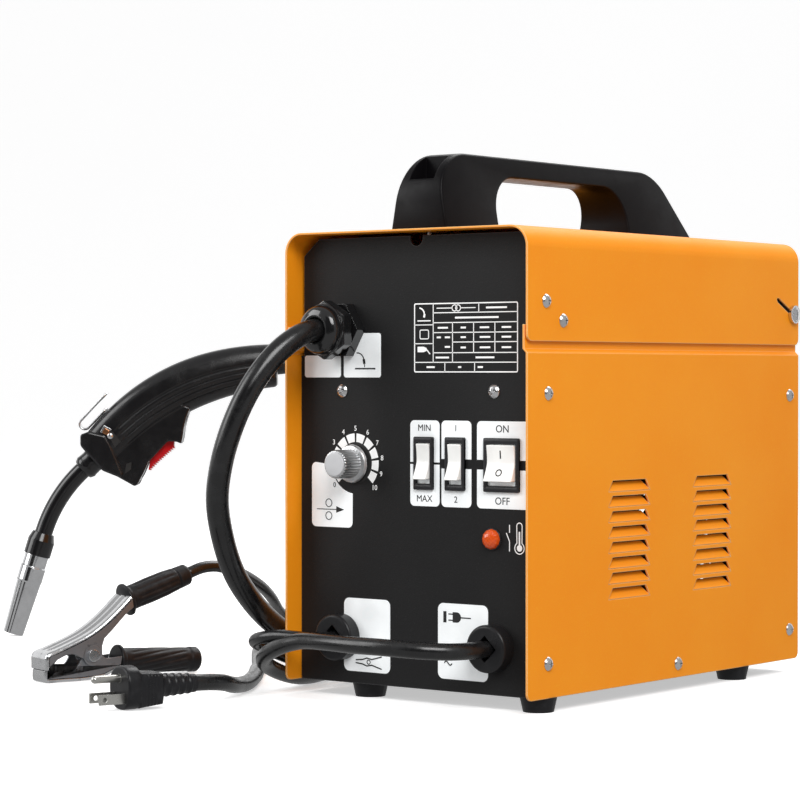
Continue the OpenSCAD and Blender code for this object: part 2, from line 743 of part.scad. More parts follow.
module handle() {
    slope = (handle_w - handle_top_w) / 2 / handle_h;
    wall = 3.4;
    pocket_w = handle_top_w - 2 * wall;
    color("#161617")
    difference() {
        intersection() {
            plate_yz(-handle_w, 2 * handle_w) difference() {
                handle_outline();
                finger_outline();
            }
            plate_xz(handle_front - 10, handle_len + 20)
                polygon([[-handle_w / 2, case_h], [handle_w / 2, case_h],
                    [handle_top_w / 2 - slope, handle_top + 1], [-handle_top_w / 2 + slope, handle_top + 1]]);
        }
        // Deep pockets for the fixing screws, open at the shoulders
        translate([-pocket_w / 2, handle_front + wall, handle_top - 14]) cube([pocket_w, 17, 40]);
        translate([-pocket_w / 2, handle_front + wall, case_h + handle_floor]) cube([pocket_w, 17, handle_h]);
        translate([-pocket_w / 2, handle_front - 10, handle_top - 16]) cube([pocket_w, 27, 40]);
        translate([-pocket_w / 2, handle_screws[1] - 9, case_h + handle_floor]) cube([pocket_w, 18, handle_h + 10]);
        for (y = handle_screws)
            translate([0, y, case_h - 1]) cylinder(h = 12, d = screw_d + 0.1);
    }
}

module cover_screws() {
    color("#c9cacc") {
        for (side = [-1, 1], p = cover_screw_spots)
            translate([side * half_w, p[0], p[1]]) rotate([0, 90 * side, 0]) pan_screw(7);
        for (y = handle_screws)
            translate([0, y, case_h + handle_floor]) pan_screw(handle_floor + sheet + 4);
    }
}

// ---- Controls ----

// A hollow switch housing with its bezel in front of the panel, and holes for the rocker's pins
module switch_housing(x, w, rocker_w) {
    inner_w = rocker_w + 0.6;
    translate([x, front_y, switch_z])
    difference() {
        union() {
            plate_xz(-bezel_out, bezel_out) translate([-w / 2, -bezel_h / 2]) rounded_square(w, bezel_h, 1);
            translate([-w / 2 + 1.4, -hair, -bezel_h / 2 + 1.7]) cube([w - 2.8, housing_deep, bezel_h - 3.4]);
        }
        translate([-inner_w / 2, -bezel_out - 1, -rocker_z / 2 - 1.2])
            cube([inner_w, housing_deep - 1, rocker_z + 2.4]);
        bar_x(-inner_w / 2 - 0.9, inner_w / 2 + 0.9, rocker_sink, 0, rocker_pin_d + 2 * pin_clear);
    }
    for (t = [-1, 1])
        translate([x - 2, front_y + housing_deep - hair, switch_z + t * 7 - 0.4]) cube([4, 8, 0.8]);
}

rocker_sink = 3;

// A rocker: two faces that meet in a shallow hollow, leaning with its upper half pressed in
module rocker(x, w) {
    half = rocker_z / 2;
    out = 5;
    translate([x, front_y + rocker_sink, switch_z]) rotate([-rocker_lean, 0, 0]) {
        plate_yz(-w / 2, w) polygon([[-rocker_sink - out, half], [-rocker_sink - 1.8, 0], [-rocker_sink - out, -half],
            [0.5, -half + 1.6], [4, -3], [4, 3], [0.5, half - 1.6]]);
        bar_x(-w / 2 - 0.8, w / 2 + 0.8, 0, 0, rocker_pin_d);
    }
}

module small_switch_housings() {
    color("#2a2a2c") {
        switch_housing(min_max_x, small_bezel_w, small_rocker_w);
        switch_housing(one_two_x, small_bezel_w, small_rocker_w);
    }
}

module mains_switch_housing() {
    color("#2a2a2c") switch_housing(mains_x, large_bezel_w, large_rocker_w);
}

module min_max_rocker() {
    color("#f4f4f2") rocker(min_max_x, small_rocker_w);
}

module one_two_rocker() {
    color("#f4f4f2") rocker(one_two_x, small_rocker_w);
}

module mains_rocker() {
    color("#f4f4f2") rocker(mains_x, large_rocker_w);
}

module potentiometer() {
    color("#5b6b4f")
    difference() {
        union() {
            bar_y(front_in, front_in + 9, -knob_x, knob_z, 17);
            bar_y(front_y - 1.2, front_in + 1, -knob_x, knob_z, 7);
            for (t = [-5, 0, 5])
                translate([-knob_x + t - 0.8, front_in + 7, knob_z - 14]) cube([1.6, 0.8, 8]);
        }
        bar_y(front_y - 3, front_in + 7, -knob_x, knob_z, knob_shaft_d + 2 * pin_clear);
    }
}

module speed_knob() {
    flutes = 28;
    color("#b9babb")
    translate([-knob_x, front_y - 1.5, knob_z]) rotate([90, 0, 0]) {
        cylinder(h = 2.6, d1 = knob_skirt_d, d2 = knob_skirt_d - 1.4);
        difference() {
            cylinder(h = knob_len - 2, d = knob_d);
            for (i = [0 : flutes - 1])
                rotate([0, 0, 360 * i / flutes]) translate([knob_d / 2 + 0.15, 0, 3]) cylinder(h = knob_len, d = 1.1);
        }
        translate([0, 0, knob_len - 2.6]) cylinder(h = 1.1, d = knob_d - 0.3);
        translate([0, 0, -8]) cylinder(h = 9, d = knob_shaft_d);
    }
}

module overheat_lamp() {
    color("#d9381e")
    translate([lamp_x, front_y, lamp_z]) rotate([90, 0, 0]) {
        rotate_extrude() {
            square([lamp_d / 2, 2]);
            intersection() {
                translate([0, 2 - hair]) square([lamp_d / 2 - 0.5, 5]);
                translate([0, -0.6]) circle(d = lamp_d + 1.2);
            }
        }
        translate([0, 0, -24]) cylinder(h = 24 + hair, d = lamp_d - 2.8);
    }
}

// ---- Inside the case ----

core_w = 120;
core_h = 100;
core_t = 60;
core_leg = 40;
core_at = [0, 34];
core_window = 20;

module transformer_core() {
    z0 = sheet;
    color("#6d7278")
    difference() {
        union() {
            plate_xz(core_at[1] - core_t / 2, core_t) translate([-core_w / 2, z0]) square([core_w, core_h]);
            // Clamping angles along the foot of the stack
            for (y = [-core_t / 2 - 10, core_t / 2 - hair])
                translate([-core_w / 2, core_at[1] + y, z0]) cube([core_w, 10 + hair, 3]);
        }
        for (side = [-1, 1])
            translate([side * (core_leg + core_window) / 2 - core_window / 2, core_at[1] - core_t / 2 - 1, z0 + 20])
                cube([core_window, core_t + 2, core_h - 40]);
        for (x = [-1, 1], y = [-1, 1])
            translate([x * (core_w / 2 - 8), core_at[1] + y * (core_t / 2 + 5), -1]) cylinder(h = 8, d = 5);
    }
}

// Copper windings round the middle leg: a closed ring with rounded corners
module transformer_windings() {
    gap = 0.4;
    inner_x = core_leg / 2 + gap;
    outer_x = core_leg / 2 + core_window - gap;
    reach = core_t / 2 + core_window;
    color("#b5713a")
    translate([0, core_at[1], sheet + 20 + gap]) linear_extrude(core_h - 40 - 2 * gap) difference() {
        translate([-outer_x, -reach]) rounded_square(2 * outer_x, 2 * reach, 14);
        translate([-inner_x, -core_t / 2 - gap]) square([2 * inner_x, core_t + 2 * gap]);
    }
}

board_at = [-72, -112];
board_size = [96, 58];
board_z = 12;

module control_board() {
    x = board_at[0];
    y = board_at[1];
    color("#2f6b3c") {
        translate([x, y, board_z]) cube([board_size[0], board_size[1], 1.6]);
        for (dx = [5, board_size[0] - 5], dy = [5, board_size[1] - 5])
            translate([x + dx, y + dy, sheet]) cylinder(h = board_z - sheet + hair, d = 6);
        translate([x + 10, y + 12, board_z + 1.5]) cube([19, 15, 15]);
        translate([x + 34, y + 12, board_z + 1.5]) cube([19, 15, 15]);
        translate([x + 66, y + 20, board_z + 1.5]) cylinder(h = 25, d = 18);
        translate([x + 12, y + 34, board_z + 1.5]) cube([50, 3, 22]);
        for (i = [0 : 6])
            translate([x + 14 + i * 7.5, y + 36, board_z + 1.5]) cube([1.2, 12, 22]);
        translate([x + 74, y + 40, board_z + 1.5]) cube([12, 8, 10]);
    }
}

fan_bore = fan_side - 4;
rotor_d = fan_bore - 6;
hub_d = 34;
fan_pin_d = 4;

module fan_frame() {
    y0 = fan_y - fan_t / 2;
    color("#1d1d1f")
    difference() {
        union() {
            difference() {
                plate_xz(y0, fan_t) translate([-fan_side / 2, fan_z - fan_side / 2]) rounded_square(fan_side, fan_side, 6);
                bar_y(y0 - 1, y0 + fan_t + 1, 0, fan_z, fan_bore);
            }
            // Motor plate carried by four struts at the inner face
            bar_y(y0, y0 + 4, 0, fan_z, hub_d - 2);
            for (turn = [45 : 90 : 315])
                translate([0, y0, fan_z]) rotate([0, turn, 0]) translate([hub_d / 2 - 3, 0.3, -2])
                    cube([fan_bore / 2 - hub_d / 2 + 4, 3.4, 4]);
            bar_y(y0 + 4 - hair, y0 + fan_t - 6, 0, fan_z, fan_pin_d);
        }
        for (x = [-1, 1], z = [-1, 1])
            bar_y(y0 - 1, y0 + fan_t + 1, x * (fan_side / 2 - 5), fan_z + z * (fan_side / 2 - 5), screw_d + 0.2);
    }
}

module fan_rotor() {
    y0 = fan_y - fan_t / 2 + 5;
    depth = fan_t - 8;
    color("#37373a")
    difference() {
        union() {
            bar_y(y0, y0 + depth, 0, fan_z, hub_d);
            for (i = [0 : fan_blades - 1])
                translate([0, y0 + depth / 2, fan_z]) rotate([0, 360 * i / fan_blades, 0])
                    rotate([35, 0, 0]) translate([0, -1, 0]) intersection() {
                        translate([hub_d / 2 - 2, 0, -9]) cube([(rotor_d - hub_d) / 2 + 1.6, 2, 18]);
                        bar_y(-20, 20, 0, 0, rotor_d);
                    }
        }
        bar_y(y0 - 1, y0 + depth - 2, 0, fan_z, fan_pin_d + 2 * pin_clear);
    }
}

motor_d = 37;
motor_len = 52;

module feed_motor() {
    color("#8d9196") {
        bar_x(feeder_x + feeder_t + seat_gap, feeder_x + feeder_t + 20, feed_y, drive_z, motor_d);
        bar_x(feeder_x + feeder_t + 20 - hair, feeder_x + feeder_t + motor_len, feed_y, drive_z, motor_d - 5);
        bar_x(feeder_x + feeder_t + motor_len - hair, feeder_x + feeder_t + motor_len + 3, feed_y, drive_z, 12);
    }
}

roller_pin_d = 6;
guide_d = 8;
guide_bore = 2.4;

module feeder_plate() {
    y0 = feed_y - 34;
    foot = 22;
    color("#c8a060")
    difference() {
        union() {
            plate_yz(feeder_x, feeder_t) translate([y0, deck_z + sheet]) rounded_square(68, wire_z + 22 - deck_z, 5);
            translate([feeder_x + feeder_t - foot, y0, deck_z + sheet]) cube([foot, 68, 4]);
            // Inlet and outlet guides of the wire
            for (y = [feed_y - 38, feed_y + 20])
                bar_y(y, y + 18, -inlet_x, wire_z, guide_d);
            for (y = [feed_y - 32, feed_y + 22])
                translate([-inlet_x, y, wire_z - 3]) cube([feeder_x + inlet_x + 1, 10, 6]);
            // Axle of the drive roller
            bar_x(-inlet_x - 8, feeder_x + 1, feed_y, drive_z, roller_pin_d);
            // Pivot of the pressure arm
            bar_x(-inlet_x - 5, feeder_x + 1, arm_pivot[0], arm_pivot[1], 5);
        }
        for (y = [feed_y - 39, feed_y + 19])
            bar_y(y, y + 20, -inlet_x, wire_z, guide_bore);
        for (y = [-26, 26])
            translate([feeder_x - 12, feed_y + y, deck_z]) cylinder(h = 10, d = 4.4);
    }
}

module drive_roller() {
    color("#d4d6d8")
    difference() {
        translate([-inlet_x, feed_y, drive_z]) rotate([0, 90, 0]) rotate_extrude()
            polygon([[roller_pin_d / 2 + pin_clear, -6], [drive_d / 2, -6], [drive_d / 2, -0.7],
                [drive_d / 2 - 0.5, 0], [drive_d / 2, 0.7], [drive_d / 2, 6], [roller_pin_d / 2 + pin_clear, 6]]);
        for (turn = [30 : 60 : 330])
            translate([0, feed_y, drive_z]) rotate([turn, 0, 0]) bar_x(-inlet_x - 7, -inlet_x + 7, 8.6, 0, 4);
    }
}

arm_t = 3;
press_pin_d = 5;

// The arm over the wire: two cheeks with the roller's axle between them
module pressure_arm() {
    tail = [feed_y + 26, press_z + 6];
    color("#3a3b3d")
    difference() {
        union() {
            for (x = [-inlet_x - 5 - arm_t, -inlet_x + 5])
                plate_yz(x, arm_t) hull() {
                    translate(arm_pivot) circle(6, $fn = 32);
                    translate([feed_y, press_z + 2]) circle(6, $fn = 32);
                    translate(tail) circle(4, $fn = 32);
                }
            translate([-inlet_x - 5 - hair, tail[0] - 3, tail[1] - 1]) cube([10 + 2 * hair, 6, 4]);
            bar_x(-inlet_x - 5 - hair, -inlet_x + 5 + hair, feed_y, press_z, press_pin_d);
        }
        bar_x(-inlet_x - 20, -inlet_x + 20, arm_pivot[0], arm_pivot[1], 5 + 2 * pin_clear);
    }
}

module pressure_roller() {
    color("#d4d6d8")
    translate([-inlet_x, feed_y, press_z]) rotate([0, 90, 0]) rotate_extrude()
        translate([press_pin_d / 2 + pin_clear, -4.5]) square([press_d / 2 - press_pin_d / 2 - pin_clear, 9]);
}

// Screw that presses the arm down, with its spring and knurled knob
module tension_screw() {
    y = feed_y + 26;
    z0 = press_z + 9 + seat_gap;
    color("#9b2f28")
    translate([-inlet_x, y, z0]) {
        cylinder(h = 6, d = 9);
        cylinder(h = 16, d = 4);
        difference() {
            translate([0, 0, 11]) cylinder(h = 12, d = 15);
            for (i = [0 : 11])
                rotate([0, 0, 30 * i]) translate([8, 0, 10]) cylinder(h = 14, d = 2);
        }
    }
}

spindle_wall_x = -inlet_x + spool_w / 2 + 2;

module spool_spindle() {
    color("#b9bcbf")
    union() {
        plate_yz(spindle_wall_x, 2.5) difference() {
            translate([spool_y - 18, deck_z + sheet]) rounded_square(36, spool_z + 16 - deck_z, 6);
            translate([spool_y - 20, deck_z - 10]) square([40, sheet + 10]);
        }
        translate([spindle_wall_x, spool_y - 18, deck_z + sheet]) cube([22, 36, 2.5]);
        bar_x(-inlet_x - spool_w / 2 - 7, spindle_wall_x + 1, spool_y, spool_z, spindle_d);
    }
}

module wire_spool() {
    hub = 44;
    x0 = -inlet_x - spool_w / 2;
    color("#202124")
    difference() {
        union() {
            bar_x(x0, x0 + spool_w, spool_y, spool_z, hub);
            for (x = [x0, x0 + spool_w - spool_rim])
                bar_x(x, x + spool_rim, spool_y, spool_z, spool_d);
        }
        bar_x(x0 - 1, x0 + spool_w + 1, spool_y, spool_z, spool_bore);
        // Windows in the rims, between the spokes
        for (turn = [0 : 60 : 300])
            translate([0, spool_y, spool_z]) rotate([turn, 0, 0]) bar_x(x0 - 1, x0 + spool_w + 1, 0, 16, 7);
    }
}

module wire_winding() {
    x0 = -inlet_x - spool_w / 2 + spool_rim + 0.1;
    width = spool_w - 2 * spool_rim - 0.2;
    color("#b8a27c")
    translate([x0, spool_y, spool_z]) rotate([0, 90, 0]) difference() {
        cylinder(h = width, d = spool_d - 16);
        translate([0, 0, -1]) cylinder(h = width + 2, d = 44.2);
    }
}

module spool_nut() {
    x = -inlet_x - spool_w / 2 - 1;
    color("#141415")
    difference() {
        union() {
            bar_x(x - 7, x, spool_y, spool_z, 24);
            for (turn = [0 : 60 : 300])
                translate([0, spool_y, spool_z]) rotate([turn, 0, 0]) bar_x(x - 7, x, 0, 12, 5);
        }
        bar_x(x - 8, x + 1, spool_y, spool_z, spindle_d + 0.1);
    }
}

// ---- Torch ----

module torch_frame() {
    translate([torch_at[0], torch_at[1], 0]) rotate([0, 0, torch_turn]) children();
}

// Places a revolved piece along the nozzle's axis, at a distance s from its tip
module on_nozzle(s) {
    translate([nozzle_tip[0], 0, nozzle_tip[1]]) rotate([0, 90 - nozzle_dir, 0]) translate([0, 0, s]) children();
}

insulator_len = 18;
neck_turn = 30;
neck_start = nozzle_len + insulator_len;

module torch_nozzle() {
    color("#d5d7da")
    torch_frame() on_nozzle(0) difference() {
        rotate_extrude()
            polygon([[nozzle_tip_d / 2 - 1.2, 0], [nozzle_tip_d / 2, 0], [nozzle_base_d / 2 - 0.4, nozzle_len - 22],
                [nozzle_base_d / 2, nozzle_len - 21], [nozzle_base_d / 2, nozzle_len - 10],
                [nozzle_base_d / 2 - 0.6, nozzle_len - 9], [nozzle_base_d / 2 - 0.6, nozzle_len],
                [nozzle_base_d / 2 - 1.8, nozzle_len], [nozzle_base_d / 2 - 1.8, nozzle_len - 21]]);
    }
}

module contact_tip() {
    color("#b8763c")
    torch_frame() on_nozzle(6) rotate_extrude()
        polygon([[wire_d / 2 + 0.1, 0], [2, 0], [3, 3], [3, nozzle_len - 28], [5.5, nozzle_len - 28],
            [5.5, nozzle_len - 6 - seat_gap], [wire_d / 2 + 0.1, nozzle_len - 6 - seat_gap]]);
}

module torch_insulator() {
    color("#151516")
    torch_frame() on_nozzle(nozzle_len) rotate_extrude()
        polygon([[1, 0], [nozzle_base_d / 2 + 0.6, 0], [nozzle_base_d / 2 + 0.6, insulator_len - 6],
            [neck_d / 2 + 1.6, insulator_len], [1, insulator_len]]);
}

module torch_neck() {
    color("#1b1b1d")
    torch_frame() on_nozzle(neck_start) translate([neck_bend_r, 0, 0]) rotate([90, 0, 0])
        rotate([0, 0, 180 - neck_turn]) rotate_extrude(angle = neck_turn)
            translate([neck_bend_r, 0]) circle(d = neck_d);
}

// End of the neck in the torch frame
neck_end_dir = nozzle_dir - neck_turn;
neck_base = nozzle_tip + neck_start * [cos(nozzle_dir), sin(nozzle_dir)];
neck_centre = neck_base + neck_bend_r * [sin(nozzle_dir), -cos(nozzle_dir)];
neck_end = neck_centre + neck_bend_r * [-sin(neck_end_dir), cos(neck_end_dir)];

module on_neck_end(s) {
    translate([neck_end[0], 0, neck_end[1]]) rotate([0, 90 - neck_end_dir, 0]) translate([0, 0, s]) children();
}

collar_len = 14;

module torch_collar() {
    color("#151516")
    torch_frame() on_neck_end(0) rotate_extrude()
        polygon([[1, 0], [neck_d / 2 + 1.8, 0], [neck_d / 2 + 3.2, 3], [neck_d / 2 + 3.2, collar_len],
            [1, collar_len]]);
}

// The shells follow a bent line from the collar to the tail, and swell between them
shell_start = neck_end + (collar_len + seat_gap) * [cos(neck_end_dir), sin(neck_end_dir)];
tail_point = shell_start + [141.5, 72];
shell_line = bezier(shell_start, shell_start + 58 * [cos(neck_end_dir + 8), sin(neck_end_dir + 8)],
    tail_point - [60, 3], tail_point, 12);
shell_steps = len(shell_line) - 1;
function shell_height(t) = 35 + 5 * sin(180 * t) - 1.5 * t;
function shell_width(t) = torch_w - 2 + 2 * sin(180 * t) - 1 * t;

// Half a handle shell: rounded sections from the middle plane outwards
module shell_half(side) {
    rim = 12;
    gap = 0.06;
    pts = [for (i = [0 : shell_steps]) let (
            t = i / shell_steps,
            a = shell_line[max(0, i - 1)],
            b = shell_line[min(shell_steps, i + 1)],
            d = i == 0 ? [cos(neck_end_dir), sin(neck_end_dir)] : unit(b - a),
            up = [-d[1], d[0]],
            h = shell_height(t) / 2,
            w = shell_width(t) / 2)
        for (k = [0 : rim]) let (
                q = -90 + 180 * k / rim,
                sy = pow(abs(cos(q)), 0.75) * w,
                sz = sign(sin(q)) * pow(abs(sin(q)), 0.75) * h,
                c = shell_line[i] + sz * up)
            [c[0], side * (gap + sy), c[1]]];
    n = rim + 1;
    walls = [for (i = [0 : shell_steps - 1], k = [0 : rim])
        let (a = i * n + k, b = i * n + (k + 1) % n) each [[a, b, b + n], [a, b + n, a + n]]];
    last = shell_steps * n;
    caps = [for (k = [1 : rim - 1]) each [[0, k + 1, k], [last, last + k, last + k + 1]]];
    faces = concat(walls, caps);
    polyhedron(points = pts, faces = side > 0 ? [for (f = faces) [f[0], f[2], f[1]]] : faces, convexity = 4);
}

// Guard below the handle that carries the trigger
guard_offsets = [[10.4, -10.6], [31, -22], [38, -12], [42, -3], [57, 13], [64, 12.5], [67.5, 11], [69.5, 23],
    [74.5, 39], [60, 45], [20, 15], [2, 0]];
guard_w = 24;
trigger_offsets = [[41.5, -9.5], [46, -4.8], [61.5, 9], [62, 20], [58, 26], [52, 22], [44, 5]];
pocket_offsets = [[36, -16], [44, -12], [66, 9], [65, 28], [50, 28], [30, -2]];
trigger_pivot = shell_start + [58, 22];
trigger_t = 9;
trigger_pin_d = 3;
trigger_slack = 0.4;

module near_shell(offsets) {
    polygon([for (o = offsets) shell_start + o]);
}

module torch_shell(side) {
    wall_y = trigger_t / 2 + trigger_slack;
    torch_frame() difference() {
        union() {
            shell_half(side);
            plate_xz(side > 0 ? 0.06 : -guard_w / 2, guard_w / 2 - 0.06) near_shell(guard_offsets);
        }
        plate_xz(-wall_y, 2 * wall_y) near_shell(pocket_offsets);
        bar_y(-wall_y - 3, wall_y + 3, trigger_pivot[0], trigger_pivot[1], trigger_pin_d + 2 * pin_clear);
    }
}

module torch_shell_left() {
    color("#161617") torch_shell(1);
}

module torch_shell_right() {
    color("#161617") torch_shell(-1);
}

module torch_trigger() {
    teeth = 8;
    first = shell_start + [42.6, -8.6];
    step = [2.55, 2.35];
    pin_reach = trigger_t / 2 + trigger_slack + 2.4;
    color("#c4202c")
    torch_frame() {
        difference() {
            plate_xz(-trigger_t / 2, trigger_t) near_shell(trigger_offsets);
            for (i = [0 : teeth - 1])
                bar_y(-trigger_t, trigger_t, first[0] + step[0] * i, first[1] + step[1] * i, 1.5);
        }
        bar_y(-pin_reach, pin_reach, trigger_pivot[0], trigger_pivot[1], trigger_pin_d);
    }
}

// Bent steel strap that hangs the torch up, lying on the front of the shells
hook_t = 2;
hook_w = 10;
hook_r = 5;
hook_foot = shell_start + [-6.4, 24.2];
hook_dir = 46.6;

module torch_hook() {
    color("#d0d2d4")
    torch_frame() translate([hook_foot[0], 0, hook_foot[1]]) rotate([0, -hook_dir, 0])
        translate([0, hook_w / 2, 0]) rotate([90, 0, 0]) linear_extrude(hook_w) {
            translate([0, -hook_t]) square([21, hook_t]);
            difference() {
                translate([0, hook_r - hook_t]) circle(hook_r);
                translate([0, hook_r - hook_t]) circle(hook_r - hook_t);
                translate([0, -hook_t - 1]) square([20, 20]);
            }
            translate([0, 2 * hook_r - 2 * hook_t]) square([30, hook_t]);
        }
}

// ---- Earth clamp ----

module clamp_frame() {
    translate([clamp_at[0], clamp_at[1], floor_z]) rotate([0, 0, clamp_turn]) children();
}

// A plate across the clamp's whole width, or to the given width
module clamp_plate(w) {
    plate_xz(-w / 2, w) children();
}

rivet = [34.7, 17.1];
rivet_d = 5;
rivet_head_d = 8;
lobe_r = 7;
upper_grip = [64.8, 51.8];
upper_grip_dir = 18.1;
upper_grip_len = 51;
lower_grip = [58, 11.4];
lower_grip_dir = -2.5;
lower_grip_len = 63;
tongue = [40, 10, 7];

module lower_jaw_outline() {
    polygon([[0, 0.2], [0, 8.6], [1.6, 8.6], [1.6, 3.2], [2.8, 3.4], [7.8, 7.3], [11.6, 7.5], [15.5, 6.3],
        [21.7, 7.8], [25.6, 12], [28, 16], [34.7, 20], [41.2, 17], [46, 14.2], [57.7, 15.1], [57.4, 7.4],
        [45, 2], [30, 0.2]]);
    translate(rivet) circle(lobe_r);
}

module upper_jaw_outline() {
    polygon([[0, 8.9], [0, 17.5], [2, 20], [10.5, 23], [30.6, 31], [41.7, 37.5], [52.8, 46.2], [63.1, 55.6],
        [65.6, 47.9], [59.5, 43.5], [49.4, 33.5], [43.3, 28], [41.6, 23], [41.7, 17.1], [34.7, 12],
        [27.6, 15.4], [24.5, 16.8], [19.5, 18.8], [12.8, 17.6], [8.3, 15.6], [2.2, 10.9], [1.6, 8.9]]);
    translate(rivet) circle(lobe_r);
}

// Tongue that a grip is pushed on, on a plate that closes the jaw's end
module tongue_on(grip, dir, plate_w) {
    translate([grip[0], 0, grip[1]]) rotate([0, -dir, 0]) {
        translate([-2, -tongue[1] / 2, -tongue[2] / 2]) cube(tongue);
        translate([-2, -plate_w / 2, -3.8]) cube([1.6, plate_w, 7.4]);
    }
}

module clamp_lower_jaw() {
    outer = clamp_w - 2 * clamp_sheet - 0.6;
    color("#cfd1d4")
    clamp_frame() difference() {
        union() {
            difference() {
                clamp_plate(outer) lower_jaw_outline();
                clamp_plate(outer - 2 * clamp_sheet) translate([-1, clamp_sheet]) square([56, 40]);
            }
            translate([0, -outer / 2, 0.2]) cube([clamp_sheet, outer, 8.4]);
            tongue_on(lower_grip, lower_grip_dir, outer - 1);
        }
        bar_y(-outer, outer, rivet[0], rivet[1], rivet_d + 0.1);
    }
}

module clamp_upper_jaw() {
    inner = clamp_w - 2 * clamp_sheet;
    color("#d5d7da")
    clamp_frame() difference() {
        union() {
            difference() {
                clamp_plate(clamp_w) upper_jaw_outline();
                clamp_plate(inner) translate([1.8, -clamp_sheet - 0.8]) upper_jaw_outline();
                clamp_plate(inner) translate([clamp_sheet, 0]) square([46, 19]);
                clamp_plate(inner) translate(rivet) circle(lobe_r + 1.2);
            }
            tongue_on(upper_grip, upper_grip_dir, inner + 1);
        }
        bar_y(-clamp_w, clamp_w, rivet[0], rivet[1], rivet_d + 2 * pin_clear);
    }
}

module clamp_grip(grip, dir, length, flange_d) {
    flutes = 10;
    slack = 0.15;
    translate([grip[0], 0, grip[1]]) rotate([0, -dir, 0]) difference() {
        union() {
            rotate([0, 90, 0]) cylinder(h = length, d1 = clamp_grip_d, d2 = clamp_grip_d - 1);
            rotate([0, 90, 0]) cylinder(h = 3.5, d = flange_d);
            translate([length - 7, 0, 0]) rotate([0, 90, 0]) cylinder(h = 7, d = clamp_grip_d + 0.4);
        }
        for (i = [0 : flutes - 1])
            rotate([360 * (i + 0.5) / flutes, 0, 0]) translate([8, 0, clamp_grip_d / 2 + 0.7]) rotate([0, 90, 0])
                cylinder(h = length - 20, d = 2.6);
        translate([-1, -tongue[1] / 2 - slack, -tongue[2] / 2 - slack])
            cube([tongue[0] - 0.8, tongue[1] + 2 * slack, tongue[2] + 2 * slack]);
    }
}

module clamp_lower_grip() {
    color("#1a1a1b") clamp_frame()
        clamp_grip(lower_grip, lower_grip_dir, lower_grip_len, clamp_grip_d + 4.5);
}

module clamp_upper_grip() {
    color("#1a1a1b") clamp_frame()
        clamp_grip(upper_grip, upper_grip_dir, upper_grip_len, clamp_grip_d + 5.5);
}

module clamp_rivet() {
    head = 1.5;
    reach = clamp_w / 2 + 0.3;
    color("#e2e3e5") clamp_frame() {
        bar_y(-reach - head / 2, reach + head / 2, rivet[0], rivet[1], rivet_d);
        for (y = [-reach - head, reach])
            bar_y(y, y + head, rivet[0], rivet[1], rivet_head_d);
    }
}

// Torsion spring round the rivet, its leg resting in the lower jaw
module clamp_spring() {
    color("#9da0a3") clamp_frame() difference() {
        union() {
            bar_y(-5, 5, rivet[0], rivet[1], 10.5);
            translate([rivet[0], -5, rivet[1] - 5.4]) rotate([0, 22, 0]) cube([15, 2.2, 2.2]);
        }
        bar_y(-6, 6, rivet[0], rivet[1], rivet_d + 0.3);
    }
}

// ---- Plug ----

module plug_frame() {
    translate([plug_at[0], plug_at[1], plug_axis_z]) rotate([0, 0, plug_turn]) children();
}

pin_d = 4.76;
pin_up = 6;
pin_len = 19;
blade = [17, 1.5, 6.3];
blade_gap = 12.7;
blade_drop = 11.9;
pin_root_d = 6;
pin_seat = 8;
relief_len = 24;

module plug_body() {
    color("#1a1a1b") plug_frame() difference() {
        union() {
            // Face flange, flat below
            intersection() {
                rotate([0, 90, 0]) cylinder(h = 9, d = plug_d);
                translate([-1, -plug_d, -plug_d / 2 + 0.1]) cube([12, 2 * plug_d, plug_d]);
            }
            // Waisted grip
            hull() {
                translate([8.9, -10.5, -11.5]) cube([0.1, 21, 22]);
                translate([plug_len - 0.1, -8, -8.5]) cube([0.1, 16, 16.5]);
            }
            // Ribbed strain relief
            translate([plug_len - 0.1, 0, 0]) rotate([0, 90, 0]) cylinder(h = relief_len, d1 = 15, d2 = mains_d + 1.6);
            for (i = [0 : 3])
                translate([plug_len + 3 + i * 5, 0, 0]) rotate([0, 90, 0])
                    cylinder(h = 2, d = 15.4 - i * 0.7);
        }
        rotate([0, 90, 0]) translate([0, 0, plug_len + relief_len - 12]) cylinder(h = 13, d = mains_d + 0.3);
        translate([-1, 0, pin_up]) rotate([0, 90, 0]) cylinder(h = pin_seat + 1, d = pin_root_d);
        for (y = [-blade_gap / 2, blade_gap / 2])
            translate([-1, y - blade[1] / 2, pin_up - blade_drop - blade[2] / 2])
                cube([pin_seat + 1, blade[1], blade[2]]);
    }
}

module plug_pins() {
    color("#d2cfc6") plug_frame() {
        translate([-pin_len + pin_d / 2, 0, pin_up]) rotate([0, 90, 0]) cylinder(h = pin_len - pin_d / 2, d = pin_d);
        translate([0, 0, pin_up]) rotate([0, 90, 0]) cylinder(h = pin_seat, d = pin_root_d);
        translate([-pin_len + pin_d / 2, 0, pin_up]) sphere(d = pin_d);
        for (y = [-blade_gap / 2, blade_gap / 2])
            difference() {
                translate([-blade[0], y - blade[1] / 2, pin_up - blade_drop - blade[2] / 2])
                    cube([blade[0] + pin_seat, blade[1], blade[2]]);
                translate([-blade[0] + 4, y - 2, pin_up - blade_drop]) rotate([-90, 0, 0]) cylinder(h = 4, d = 3.2);
            }
    }
}

// ---- Cords ----

function in_frame(at, turn, p) =
    [at[0] + p[0] * cos(turn) - p[1] * sin(turn), at[1] + p[0] * sin(turn) + p[1] * cos(turn), p[2]];
tail_dir = unit(tail_point - shell_line[shell_steps - 1]);
hose_tail = tail_point + 0.1 * tail_dir;
hose_end = in_frame(torch_at, torch_turn, [hose_tail[0], 0, hose_tail[1]]);
hose_before = in_frame(torch_at, torch_turn, [hose_tail[0] + 15 * tail_dir[0], 0, hose_tail[1] + 15 * tail_dir[1]]);

